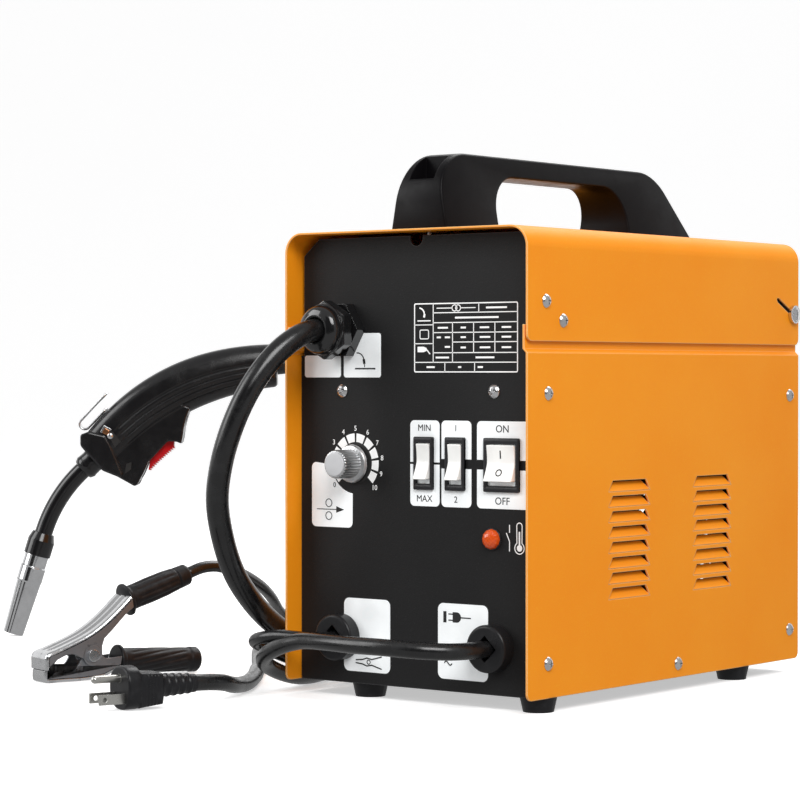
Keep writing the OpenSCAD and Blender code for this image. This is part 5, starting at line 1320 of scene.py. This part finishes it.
def shell_half(side, settings):
    """One half of the torch handle, its outside made of flattened round sections.

    At t along the line and angle q from -90 to 90 degrees a point lies at y = w |cos q|^0.75 - d G and
    z = h sgn(sin q) |sin q|^0.75, where h = (35 + 5 sin(pi t) - 1.5 t) / 2, w = (27 + 2 sin(pi t) - t) / 2,
    G is the sum of exp(-((z / h - g) / 0.03)^2) over the grooves at heights g, and d their depth.
    The last millimetres are rounded in by e = r (1 - sqrt(1 - u^2)).
    """
    t = np.concatenate([np.linspace(0, 0.98, 70), 1 - 0.02 * (1 - np.sin(np.linspace(0.15, np.pi / 2, 8)))])
    q = np.radians(np.linspace(-90, 90, 121))
    line = shell_line(t)
    along = np.gradient(line, axis=0)
    along[0] = heading(NECK_DIR)
    inset = 2.6 * (1 - np.sqrt(1 - np.clip((t - 0.98) / 0.02, 0, 1) ** 2))
    h = ((35 + 5 * np.sin(np.pi * t) - 1.5 * t) / 2 - inset)[:, None]
    w = ((27 + 2 * np.sin(np.pi * t) - t) / 2 - inset)[:, None]
    z = h * signed_power(np.sin(q), 0.75)
    grooves = sum(np.exp(-(((z / h - g) / 0.03) ** 2)) for g in (0.10, -0.14, -0.38, -0.62))
    reach = np.clip((t - 0.15) / 0.03, 0, 1) * np.clip((0.985 - t) / 0.02, 0, 1)
    groove = in_mm(settings.groove)
    y = w * np.abs(np.cos(q)) ** 0.75 - groove * grooves * reach[:, None] * (np.abs(np.cos(q)) > 0.3)
    rings = upright(line, left_of(unit(along)), z, side * (np.maximum(y, 0) + SEAM))
    return skin("torch_shell", rings, "torch", "machine", TORCH, crease=50)


def torch_case(side, settings):
    """One moulded half of the handle with its cheek of the trigger guard and half of the nose cap."""
    word = "left" if side > 0 else "right"
    parts = [shell_half(side, settings)]
    for offsets, near, far, edge in (
        (GUARD, TRIGGER_HALF + 0.4, GUARD_HALF - SEAM, 1.1),
        (GUARD_MIDDLE, SEAM, TRIGGER_HALF + 0.6, 0.4),
        (NOSE, SEAM, 14.2, 1.6),
    ):
        parts.append(torch_plate(offsets, *sorted((side * near, side * far)), "torch", (edge, 3, 20)))
    dressed(joined(f"torch_half_{word}", parts), "torch_plastic", f"torch_shell_{word}")


def torch_inserts():
    """Terminal pocket behind the nose cap with its clip and screw, and the slot below it; the pocket's inside
    and the slot are dark plates of painted shade.
    """
    side = -14.35
    x, z = SHELL_START + (12.6, 17.2)
    screw = [(0, -0.9), (1.6, -0.9), (2.4, -0.3), (2.6, 0.4), (2.6, 2.0), (0, 2.0)]
    tab = [(6.4, 19.6), (8.4, 23.4), (12.2, 21.4), (10.2, 17.8)]
    bracket = [(4.8, 20.2), (7.8, 25.6), (13.4, 22.6), (12.6, 21.2), (8.4, 23.6), (6.2, 19.4)]
    parts = [
        # Dark plates in the pocket and in the slot below it: painted shade.
        torch_plate([(10, 20.5), (12.4, 23), (20.6, 13), (16, 8.4)], side + 0.2, side + 2, "ink_black"),
        torch_plate([(24.8, -4.6), (28.9, -3.2), (28.5, -8.8), (23.4, -12.6)], -12.25, -11, "ink_black"),
        revolve("torch_terminal", screw, "screw", "machine", TORCH, (x, side - 0.2, z), steps=24),
        torch_plate(tab, side - 0.6, side + 1, "tip", (0.3,)),
        torch_plate(bracket, side - 0.9, side + 1, "hook", (0.25,)),
    ]
    dressed(joined("torch_inserts", parts), "torch_plastic")


def torch_trigger(settings):
    """Trigger bar with a saw-toothed front, as wide as its slot allows, on its pin."""
    edge = smooth_path([(41.5, -9.5, 0), (46.2, -4.6, 0), (54, 2.6, 0), (61.5, 9, 0)], 14)[:, :2]
    gone = distance_along(edge)
    marks = np.linspace(0, gone[-1], 2 * settings.teeth + 1)
    path = np.stack([np.interp(marks, gone, edge[:, i]) for i in (0, 1)], axis=1)
    out = -unit(left_of(np.gradient(path, axis=0)))
    path = path - 0.3 * out
    path[1::2] += 2.1 * out[1::2]
    outline = [*path, (62, 20), (58, 26), (52, 22), (44, 5)]
    bar = torch_plate(outline, -TRIGGER_HALF, TRIGGER_HALF, "trigger", (0.2, 2, 25), "trigger")
    x, z = SHELL_START + (58, 22)
    profile = [(0, -7.3), (1.2, -7.3), (1.5, -7), (1.5, 7), (1.2, 7.3), (0, 7.3)]
    pin = revolve("trigger_pin", profile, "screw", "trigger", TORCH, (x, 0, z), steps=24)
    dressed(joined("torch_trigger_bar", [bar, pin]), "trigger_red", "torch_trigger")


def torch_hook():
    """Steel strap on the nose: one leg lies on the handle, the other stands free.

    Its section is a flat oval, |y / b|^6 + |n / a|^2.5 = 1.
    """
    x, z = SHELL_START + (-6.4, 24.2)
    path = [(x, -1.0) for x in np.linspace(21, 0, 22)] + arc(0, 3, 4.0, 270, 90, 24)[1:]
    path = np.array(path + [(x, 7.0) for x in np.linspace(1.2, 30, 26)])
    gone = distance_along(path)
    near_end = np.minimum(gone, gone[-1] - gone)
    half = 5.0 - 3.2 * (1 - np.sqrt(np.clip(1 - (1 - np.clip(near_end / 3.2, 0, 1)) ** 2, 0, 1)))
    turn = circle(40)
    across = half[:, None] * signed_power(np.cos(turn), 2 / 6)
    normal = left_of(unit(np.gradient(path, axis=0)))
    rings = upright(path, normal, signed_power(np.sin(turn), 2 / 2.5), across)
    made = skin("torch_hook_strap", rings, "hook", "machine", TORCH.turned((x, 0, z), -46.6, "Y"))
    dressed(made, "hook_steel", "torch_hook")


def torch_boot():
    """Collar with its lips between the handle and the neck."""
    x, z = SHELL_START - 14.1 * heading(NECK_DIR)
    lips = [(8.0, 0), (8.7, 0.4), (9.4, 2.2), (10.0, 3.4), (9.7, 5), (9.5, 9), (9.9, 13.2), (9.5, 14)]
    profile = [(1, 0), *lips, (1, 14)]
    frame = TORCH.turned((x, 0, z), -NECK_DIR, "Y")
    made = revolve("torch_boot", profile, "neck", "machine", frame, axis="X", steps=48, crease=40)
    dressed(made, "neck_black", "torch_collar")


def make_torch(settings):
    """The welding torch: two halves, trigger, hook, terminal parts and collar."""
    for side in (1, -1):
        torch_case(side, settings)
    torch_inserts()
    torch_trigger(settings)
    torch_hook()
    torch_boot()


# ---- Handle, controls and gland ----

HANDLE_TOP, HANDLE_FOOT = 335.0, 286.0
HANDLE_FRONT, HANDLE_REAR = -145, 145
FRONT_R, REAR_R, OPENING_R = 31, 38, 24
REAR_LEAN = 50.7
OPENING_FRONT, OPENING_REAR, OPENING_TOP = -88, 62, 322


def handle_profile():
    """Side outline of the handle as (y, z), with its finger opening taken out from below."""
    end = 90 - REAR_LEAN
    rear_z = HANDLE_TOP - REAR_R + REAR_R * math.sin(math.radians(end))
    tail = HANDLE_REAR - (rear_z - HANDLE_FOOT) / math.tan(math.radians(REAR_LEAN))
    centre = tail - REAR_R * math.cos(math.radians(end))
    return [
        (HANDLE_REAR, HANDLE_FOOT),
        *arc(centre, HANDLE_TOP - REAR_R, REAR_R, end, 90, 12),
        *arc(HANDLE_FRONT + FRONT_R, HANDLE_TOP - FRONT_R, FRONT_R, 90, 180, 14),
        (HANDLE_FRONT, HANDLE_FOOT),
        (OPENING_FRONT, HANDLE_FOOT),
        *arc(OPENING_FRONT + OPENING_R, OPENING_TOP - OPENING_R, OPENING_R, 180, 90, 12),
        *arc(OPENING_REAR - OPENING_R, OPENING_TOP - OPENING_R, OPENING_R, 90, 0, 12),
        (OPENING_REAR, HANDLE_FOOT),
    ]


def make_handle(settings):
    """Moulded carry handle: leaning cheeks, soft edges and screw pockets with their ribs.

    A cheek point of the side outline at height z lies at x = +-(22 - 9 (z - 286) / 49).
    """
    outline = handle_profile()
    slope = 9.0 / (HANDLE_TOP - HANDLE_FOOT)
    sides = [[(side * (22.0 - slope * (z - HANDLE_FOOT)), y, z) for y, z in outline] for side in (-1, 1)]
    body = skin("handle_bar", sides, "handle", "cover", smooth=False)
    rounded(body, in_mm(settings.handle_edge), 4, 25)
    cutters = []
    for y0, y1, floor in ((-150.0, -124.6, 319.0), (-141.6, -124.6, 290.0), (96.0, 114.0, 290.0)):
        cutters.append(prism(round_box(y0, y1, floor, 350, 1.2, 2), -9.6, 9.6, "handle", "cover", plane="YZ"))
        cut = body.modifiers.new("pocket", "BOOLEAN")
        cut.operation = "DIFFERENCE"
        cut.solver = "EXACT"
        cut.object = cutters[-1]
    rib = round_box(-1.1, 1.1, 290.2, 312, 0.4, 2)
    ribs = [prism(rib, y - 7.8, y - 5.5, "handle", "cover", edge=(0.3,)) for y in (-133.0, 105.0)]
    made = joined("handle_moulding", [body, *ribs])
    for cutter in cutters:
        bpy.data.objects.remove(cutter)
    made.data.polygons.foreach_set("use_smooth", [True] * len(made.data.polygons))
    dressed(creased(made, 32), "handle_plastic", "handle")


def make_gland():
    """Domed nut of the cable gland: a chamfered hexagon, a smooth dome and a rolled mouth round the hose.

    The dome's radius at the share u of its length is r = 10.3 + 5.4 sqrt(1 - u^2).
    """
    at = (-60, PANEL_Y, 224)
    hexagon = arc(at[0], at[2], 18.9, 30, 330, 5)
    dome = [(7.5, -18.0), (16.0, -18.2), (16.5, -18.8), (16.5, -19.6), (15.7, -20.1)]
    dome += [(10.3 + 5.4 * math.sqrt(1 - u**2), -20.2 - 7.0 * u) for u in np.linspace(0.03, 0.98, 16)]
    dome += [(10.1, -27.5), (9.4, -27.8), (8.6, -27.7), (7.9, -27.1), (7.45, -26.0), (7.4, -18.0)]
    seal = [(7.5, -8.8), (14.6, -8.8), (14.6, -9.4), (15.8, -9.8), (15.8, -10.7), (14, -10.8), (7.5, -10.8)]
    parts = [
        prism(hexagon, PANEL_Y - 18.6, PANEL_Y - 9.9, "gland", edge=(0.9,)),
        revolve("gland_cap", dome, "gland", "machine", at=at, steps=96, crease=40),
        revolve("gland_seal", seal, "bush", "machine", at=at, steps=72, crease=40),
    ]
    dressed(joined("gland_dome", parts), "gland_nylon", "gland_nut")


def make_knob(settings):
    """Speed knob: skirt, fluted barrel with a milled rim, and a spun cap."""
    x, z = DIAL
    turn = circle(settings.flutes * 8)
    hollow = 1 - np.abs(np.sin(turn * settings.flutes / 2)) ** 0.45
    rings = []
    # Distance from the panel, radius, and share of the flutes' depth.
    for s, r, deep in (
        (-1.5, 6.0, 0), (-1.5, 11.8, 0), (-1.9, 12.2, 0), (-3.0, 11.9, 0), (-3.8, 11.3, 0), (-4.1, 9.5, 0),
        (-4.4, 9.2, 0.5), (-5.4, 9.2, 1.0), (-17.9, 9.1, 1.0), (-18.7, 8.8, 0.6), (-19.1, 8.4, 0),
        (-19.3, 7.9, 0), (-19.2, 7.5, 0),
    ):
        radius = r - 1.2 * deep * hollow
        rings.append(around_y((x, PANEL_Y + s, z), radius, turn))
    barrel = skin("knob_barrel", rings, "knob", "knob", crease=42)
    cap = [(0, -19.9), (6.6, -19.9), (7.3, -19.75), (7.5, -19.3), (7.5, -18.6), (0, -18.6)]
    disc = revolve("knob_disc", cap, "knob_cap", "knob", at=(x, PANEL_Y, z), steps=64, crease=40)
    dressed(joined("knob_dressed", [barrel, disc]), "knob_silver", "speed_knob")


def rocker_face(z):
    """How far forward a rocker's hollowed face lies at a height from its middle."""
    return -(5.2 + 2.6 * min(1, abs(z) / 11.0) ** 1.4)


def make_rocker(switch, x, width):
    """Rocker with two hollowed faces, which lie 5.2 + 2.6 |z / 11|^1.4 out; the mains one has its I and O."""
    body = f"{switch}_switch"
    frame = Frame3(x, PANEL_Y + 3, -9, SWITCH_Z, "X")
    outline = [(rocker_face(z), z) for z in np.linspace(-11.3, 11.3, 25)]
    outline += [(0.5, 9.9), (4, 3), (4, -3), (0.5, -9.9)]
    parts = [prism(outline, -width / 2, width / 2, "white", body, frame, "YZ", (0.7, 3, 35))]
    if switch == "mains":
        at, tilt = 5.6, 14
        bar = [(-0.45, -2.5), (0.45, -2.5), (0.45, 2.5), (-0.45, 2.5)]
        face = frame.turned((0, rocker_face(at), at), tilt, "X")
        parts.append(prism(bar, -0.12, 0.4, "ink_black", body, face))
        ring = [(1.6, -0.12), (2.4, -0.12), (2.4, 0.4), (1.6, 0.4), (1.6, -0.12)]
        face = frame.turned((0, rocker_face(at), -at), -tilt, "X")
        parts.append(revolve("rocker_ring", ring, "ink_black", body, face))
    dressed(joined(f"{switch}_key", parts), "rocker_white", f"{switch}_rocker")


def make_bezel(switch, x, width, opening):
    """A stepped, softly edged rim round a rocker over the CAD housing."""
    rows = []
    for out, t in ((0, 0), (1.5, 0), (2.0, 0.5), (2.05, 1.1), (1.7, 1.6), (0.2, 1.9)):
        t = t / 1.9
        a = width / 2 + (opening + 0.1 - width / 2) * t
        b = 16.5 + (12.6 - 16.5) * t
        loop = round_box(x - a, x + a, SWITCH_Z - b, SWITCH_Z + b, max(0.5, 1.2 * (1 - t)), 4)
        rows.append([(u, PANEL_Y - out, v) for u, v in loop])
    faces = grid_faces(len(rows), len(rows[0]), closed_v=True)
    dressed(new_mesh(f"bezel_{switch}", rows, faces, "housing", "machine", crease=35), "gland_nylon")


def make_lamp():
    """Overheat lamp: dark seat ring and a dome drawn in between its twelve facets.

    At the share u of its height the dome's radius is 6.3 sqrt(1 - u^2.4) cos(pi / 12) / cos(a), for
    the angle a from the middle of a facet.
    """
    x, z = 58.5, 95.4
    seat = [(5.2, 0.0), (6.7, 0.0), (6.9, -0.4), (6.6, -0.8), (5.9, -0.9), (5.2, -0.7), (5.2, 0.0)]
    ring = revolve("lamp_seat", seat, "housing", "machine", at=(x, PANEL_Y, z), steps=48)
    turn = circle(96)
    facet = np.cos(np.pi / 12) / np.cos((turn % (np.pi / 6)) - np.pi / 12)
    rings = []
    for u in np.linspace(0, 0.96, 12):
        r = 6.3 * math.sqrt(1 - u**2.4) * facet
        rings.append(around_y((x, PANEL_Y - 0.6 - 4.6 * u, z), r, turn))
    dome = skin("lamp_dome", rings, "lamp", "machine", crease=9)
    dressed(joined("lamp_lens", [dome, ring]), "lamp_red", "overheat_lamp")


def make_controls(settings):
    """Knob, rockers with their bezels, lamp and the gland's nut."""
    make_gland()
    make_knob(settings)
    for switch, (x, rocker, _, _) in SWITCHES.items():
        make_rocker(switch, x, rocker)
    for switch, (x, _, bezel, opening) in SWITCHES.items():
        make_bezel(switch, x, bezel, opening)
    make_lamp()


# ---- Earth clamp and plug ----

RIVET = (34.7, 17.1)
UPPER_BACK = (
    (0, 8.9), (0, 13), (0.1, 17.3), (1.6, 19.8), (10.5, 23), (30.6, 31), (41.7, 37.5), (52.8, 46.2),
    (63.1, 55.6),
)
UPPER_MOUTH = (
    (65.6, 47.9), (59.5, 43.5), (49.4, 33.5), (43.3, 28), (41.6, 23), (41.7, 17.1), (38.5, 13.4), (34.7, 12),
    (31, 13.2), (27.6, 15.4), (24.5, 16.8), (22, 18.2), (19.5, 18.8), (16, 18.7), (12.8, 17.6), (8.3, 15.6),
    (5, 13), (2.2, 10.9), (1.6, 8.9),
)
LOWER_BACK = ((57.4, 7.4), (45, 2), (30, 0.35), (12, 0.3), (2, 0.3), (0.5, 1.2), (0, 3), (0, 8.4))
LOWER_MOUTH = (
    (1.6, 3.2), (2.8, 3.4), (5.2, 5.6), (7.8, 7.3), (11.6, 7.5), (15.5, 6.3), (18.6, 6.5), (21.7, 7.8),
    (25.6, 12), (28, 16), (34.7, 20), (41.2, 17), (46, 14.2), (57.7, 15.1),
)
UPPER_SLEEVE = (
    (0, 10.6), (0.6, 11.25), (2.0, 11.25), (2.8, 9.8), (4.4, 8.4), (20, 8.8), (32, 8.6), (40.6, 7.9),
    (41.2, 7.0), (42, 6.9), (42.4, 7.6), (49.8, 7.3), (51, 6.4),
)
LOWER_SLEEVE = (
    (0, 10.0), (0.8, 10.7), (2.6, 10.7), (3.6, 9.2), (5.2, 8.3), (25, 8.5), (50, 8.3), (55.4, 8.1), (56, 8.6),
    (61.6, 8.5), (63, 7.2),
)
RIVET_HEAD = (
    (0, 0), (1.6, 0), (1.9, 0.9), (2.4, 1.6), (3.2, 1.5), (3.9, 0.8), (4.0, 0.1), (4.0, -0.4), (0, -0.4),
)


def pressed_web(path, half, ribs, body):
    """The folded back of a jaw: a strip along path whose long edges turn over and whose middle is ribbed.

    Across the strip the surface lies at n(y) = -r + sqrt(r^2 - (|y| - half + r)^2) beyond half - r, and
    at -1.5 * sum exp(-((y - y_k) / 1.3)^2) between, for the ribs' middles y_k. The ribs fade in along it.
    """
    path = smooth_path([(x, z, 0) for x, z in path], 7)[:, :2]
    flat = np.linspace(-0.8, 0.8, 45)
    y = np.concatenate([np.linspace(-1, -0.8, 6)[:-1], flat, np.linspace(0.8, 1, 6)[1:]]) * half
    r = 2.2
    edge = -r + np.sqrt(np.maximum(0.0, r**2 - np.maximum(0, np.abs(y) - half + r) ** 2))
    ramp = np.clip((distance_along(path) - 13) / 9, 0, 1)[:, None]
    outer = edge - 1.5 * ramp * sum(np.exp(-(((y - k) / 1.3) ** 2)) for k in ribs)
    inner = outer - 1.4 + 0.4 * np.maximum(0, -edge)
    both = np.concatenate([outer, inner[:, ::-1]], axis=1)
    rings = upright(path, left_of(unit(np.gradient(path, axis=0))), both, np.concatenate([y, y[::-1]]))
    return skin("jaw_back", rings, "clamp", body, CLAMP, crease=50)


def jaw(name, back, mouth, half, ribs, lobe, body):
    """One pressed jaw: its ribbed back, and two side walls with the scalloped mouth."""
    parts = [pressed_web(back, half, ribs, body)]
    back = np.array(back, float)
    wall = [*(back - 2.0 * left_of(unit(np.gradient(back, axis=0)))), *mouth]
    # The side walls take the darker steel: painted shade.
    plates = [(wall, 1.6, 0.02, 30)]
    if lobe:
        plates.append((arc(*RIVET, 7.0, 0, 352.5, 46), 1.62, -0.02, 40))
    for side in (-1, 1):
        for outline, deep, in_by, angle in plates:
            low, high = sorted((side * (half - deep), side * (half - in_by)))
            parts.append(prism(outline, low, high, "clamp_wall", body, CLAMP, edge=(0.35, 2, angle)))
    return joined(name, parts)


def rubber_grip(name, at, lean, profile, waves, body):
    """A rubber sleeve with n flutes wound by k, between two places along it; waves holds all four.

    Its radius at distance s and angle a is r(s) - 0.6 w(s) (0.5 + 0.5 cos(n a + k s))^2, where w fades
    the flutes in and out.
    """
    radii, length = [r for _, r in profile], profile[-1][0]
    s = np.concatenate([np.linspace(0, 6, 16), np.linspace(6.4, length - 0.01, 70), [length, length]])
    r = np.interp(s, [s for s, _ in profile], radii)
    r[-1] = 4.0
    turn = circle(160)
    count, wind, start, stop = waves
    reach = np.clip((s - start) / 3, 0, 1) * np.clip((stop - s) / 3, 0, 1)
    flute = (0.5 + 0.5 * np.cos(count * turn + wind * s[:, None])) ** 2
    radius = r[:, None] - 0.6 * reach[:, None] * flute
    rings = np.stack([s[:, None] + 0 * turn, radius * np.cos(turn), radius * np.sin(turn)], axis=-1)
    frame = CLAMP.turned((at[0], 0, at[1]), -lean, "Y")
    return skin(name, rings, "grip", body, frame, crease=45)


def clamp_fittings():
    """The tubular rivet with rolled ends, and the wound torsion spring on it."""
    x, z = RIVET
    for side in (-1, 1):
        profile = [(r, side * (12.1 + s)) for r, s in RIVET_HEAD]
        name = f"clamp_rivet_end_{side}"
        dressed(revolve(name, profile, "clamp", "machine", CLAMP, (x, 0, z), crease=60), "clamp_steel")
    wire_r, coil_r, half = 0.95, 4.4, 4.2
    a = np.linspace(-0.6, 5 * 2 * np.pi - 1.0, 180)
    share = (a - a[0]) / (a[-1] - a[0])
    coil = np.stack([x + coil_r * np.cos(a), -half + 2 * half * share, z + coil_r * np.sin(a)], axis=1)
    leg = np.linspace((x + 16, -half, z - 7.6), (x + coil_r, -half, z - 3.2), 12)
    made = swept("clamp_coil", np.vstack([leg[:-1], coil[4:]]), wire_r, "clamp", "machine", CLAMP, 12)
    dressed(made, "clamp_steel", "clamp_spring")


def make_clamp():
    """Earth clamp: two jaws, two grips, rivet and spring."""
    made = jaw("clamp_jaw_upper", UPPER_BACK, UPPER_MOUTH, 12.0, (-3.6, 3.6), True, "clamp_upper")
    dressed(made, "clamp_steel", "clamp_upper_jaw")
    made = jaw("clamp_jaw_lower", LOWER_BACK, LOWER_MOUTH, 10.1, (), False, "machine")
    dressed(made, "clamp_steel", "clamp_lower_jaw")
    waves = (10, 0.0, 7, 41)
    made = rubber_grip("clamp_handle_upper", (64.8, 51.8), 18.1, UPPER_SLEEVE, waves, "clamp_upper")
    dressed(made, "grip_rubber", "clamp_upper_grip")
    waves = (12, 0.32, 8, 53)
    made = rubber_grip("clamp_handle_lower", (58, 11.4), -2.5, LOWER_SLEEVE, waves, "machine")
    dressed(made, "grip_rubber", "clamp_lower_grip")
    clamp_fittings()


# Sections (x, a, low, high, e) of the plug: its face flange, and where its grip begins and ends.
PLUG_FACE = (
    (0, 11.8, -11.8, 11.8, 2.3), (0.0, 12.7, -12.7, 12.7, 2.4), (0.5, 13.3, -13.2, 13.3, 2.4),
    (1.3, 13.5, -13.4, 13.5, 2.4), (8.2, 13.5, -13.4, 13.5, 2.4), (8.9, 13.1, -13.2, 13.1, 2.6),
    (9.2, 12.4, -12.8, 12.2, 3.2), (9.4, 11.6, -12.6, 10.4, 6.0), (9.8, 11.2, -12.4, 10.0, 8.0),
)
PLUG_WAIST = ((25.8, 9.0, -10.0, 8.2, 7.0), (26.4, 8.2, -8.8, 7.7, 5.0), (27.0, 7.7, -8.0, 7.5, 3.4))


def plug_sections():
    """The plug's sections from its face to the end of its strain relief, with the grip's finger ribs."""
    sections = list(PLUG_FACE)
    for x in np.arange(10.4, 25.4, 0.3):
        t = (x - 8.9) / 19.1
        press = 0.4 * (0.5 - 0.5 * math.cos((x - 13.0) / 2.4 * 2 * math.pi)) if 13.0 < x < 22.6 else 0.0
        sections.append((x, 11.2 - 1.6 * t - press, -12.4 + 1.8 * t, 9.8 - 1.4 * t, 8.0))
    sections += PLUG_WAIST
    for x in np.arange(27.6, 52.0, 0.3):
        ridge = max(0.0, math.cos((x - 32.0) / 5.0 * 2 * math.pi)) ** 0.6 * 0.45 if x < 49.5 else 0.0
        r = 7.5 - 1.45 * (x - 28) / 24 + ridge - 0.35
        sections.append((x, r, -r, r, 2.0))
    return [*sections, (52.0, 5.4, -5.4, 5.4, 2.0)]


def make_plug():
    """Moulded three-pin plug: rounded face flange, waisted grip with finger ribs, ribbed strain relief.

    A section (x, a, low, high, e) is |y / a|^e + |(z - m) / b|^e = 1, with m and b from low and high.
    """
    turn = circle(96)
    c, s = np.cos(turn), np.sin(turn)
    rings = []
    for x, a, low, high, e in plug_sections():
        z = (low + high) / 2 + (high - low) / 2 * signed_power(s, 2 / e)
        rings.append(np.stack([x + 0 * turn, a * signed_power(c, 2 / e), z], axis=1))
    dressed(skin("plug_shell", rings, "plug", "machine", PLUG, crease=45), "plug_vinyl", "plug_body")


# ---- Operators and panel ----


class WELDER_OT_stage(bpy.types.Operator):
    """Make the camera, the light and the floor"""

    bl_idname = "welder.stage"
    bl_label = "Studio"

    def execute(self, context):
        make_stage(context.scene.welder_stage)
        return {"FINISHED"}


class WELDER_OT_paint(bpy.types.Operator):
    """Put the materials on the CAD pieces"""

    bl_idname = "welder.paint"
    bl_label = "Materials"

    def execute(self, context):
        make_paints(context.scene.welder_paint)
        paint_nodes(FRAME)
        return {"FINISHED"}


class WELDER_OT_cords(bpy.types.Operator):
    """Lay the torch hose, the mains lead and the earth lead"""

    bl_idname = "welder.cords"
    bl_label = "Cords"

    def execute(self, context):
        make_cords(context.scene.welder_cords)
        return {"FINISHED"}


class WELDER_OT_torch(bpy.types.Operator):
    """Make the welding torch"""

    bl_idname = "welder.torch"
    bl_label = "Torch"

    def execute(self, context):
        make_torch(context.scene.welder_torch)
        return {"FINISHED"}


class WELDER_OT_handle(bpy.types.Operator):
    """Make the carry handle"""

    bl_idname = "welder.handle"
    bl_label = "Carry handle"

    def execute(self, context):
        make_handle(context.scene.welder_case)
        return {"FINISHED"}


class WELDER_OT_controls(bpy.types.Operator):
    """Make the knob, the switches, the lamp and the gland nut"""

    bl_idname = "welder.controls"
    bl_label = "Controls"

    def execute(self, context):
        make_controls(context.scene.welder_case)
        return {"FINISHED"}


class WELDER_OT_clamp(bpy.types.Operator):
    """Make the earth clamp"""

    bl_idname = "welder.clamp"
    bl_label = "Earth clamp"

    def execute(self, context):
        make_clamp()
        return {"FINISHED"}


class WELDER_OT_plug(bpy.types.Operator):
    """Make the mains plug"""

    bl_idname = "welder.plug"
    bl_label = "Mains plug"

    def execute(self, context):
        make_plug()
        return {"FINISHED"}


class WELDER_OT_print(bpy.types.Operator):
    """Print the front panel"""

    bl_idname = "welder.print"
    bl_label = "Front print"

    def execute(self, context):
        make_print(context.scene.welder_print)
        return {"FINISHED"}


class WELDER_OT_cord_ends(bpy.types.Operator):
    """Read the points along each cord"""

    bl_idname = "welder.cord_ends"
    bl_label = "Cord ends"

    def execute(self, context):
        declare_cords(context.scene.welder_cords)
        return {"FINISHED"}


class WELDER_PT_pieces(bpy.types.Panel):
    """Lists the groups of pieces"""

    bl_idname = "WELDER_PT_pieces"
    bl_label = "Welding machine"
    bl_space_type = "VIEW_3D"
    bl_region_type = "UI"
    bl_category = "Welder"

    def draw(self, context):
        for operator in OPERATORS:
            self.layout.operator(operator.bl_idname)
        for name in SETTINGS:
            settings = getattr(context.scene, name)
            for key in settings.__annotations__:
                self.layout.prop(settings, key)


SETTINGS = {
    "welder_paint": WelderPaint,
    "welder_cords": WelderCords,
    "welder_torch": WelderTorch,
    "welder_case": WelderCase,
    "welder_print": WelderPrint,
    "welder_stage": WelderStage,
}
OPERATORS = (
    WELDER_OT_stage, WELDER_OT_paint, WELDER_OT_cords, WELDER_OT_torch, WELDER_OT_handle,
    WELDER_OT_controls, WELDER_OT_clamp, WELDER_OT_plug, WELDER_OT_print, WELDER_OT_cord_ends,
)
CLASSES = (*SETTINGS.values(), *OPERATORS, WELDER_PT_pieces)


def register():
    """Adds the settings, the operators and the panel to Blender."""
    for item in CLASSES:
        bpy.utils.register_class(item)
    for name, group in SETTINGS.items():
        setattr(bpy.types.Scene, name, bpy.props.PointerProperty(type=group))


def unregister():
    """Takes them away again."""
    for name in SETTINGS:
        delattr(bpy.types.Scene, name)
    for item in reversed(CLASSES):
        bpy.utils.unregister_class(item)


def main():
    register()
    for operator in OPERATORS:
        group, name = operator.bl_idname.split(".")
        if getattr(getattr(bpy.ops, group), name)() != {"FINISHED"}:
            raise RuntimeError(f"{operator.bl_label} could not be made")


if __name__ == "__main__":
    main()
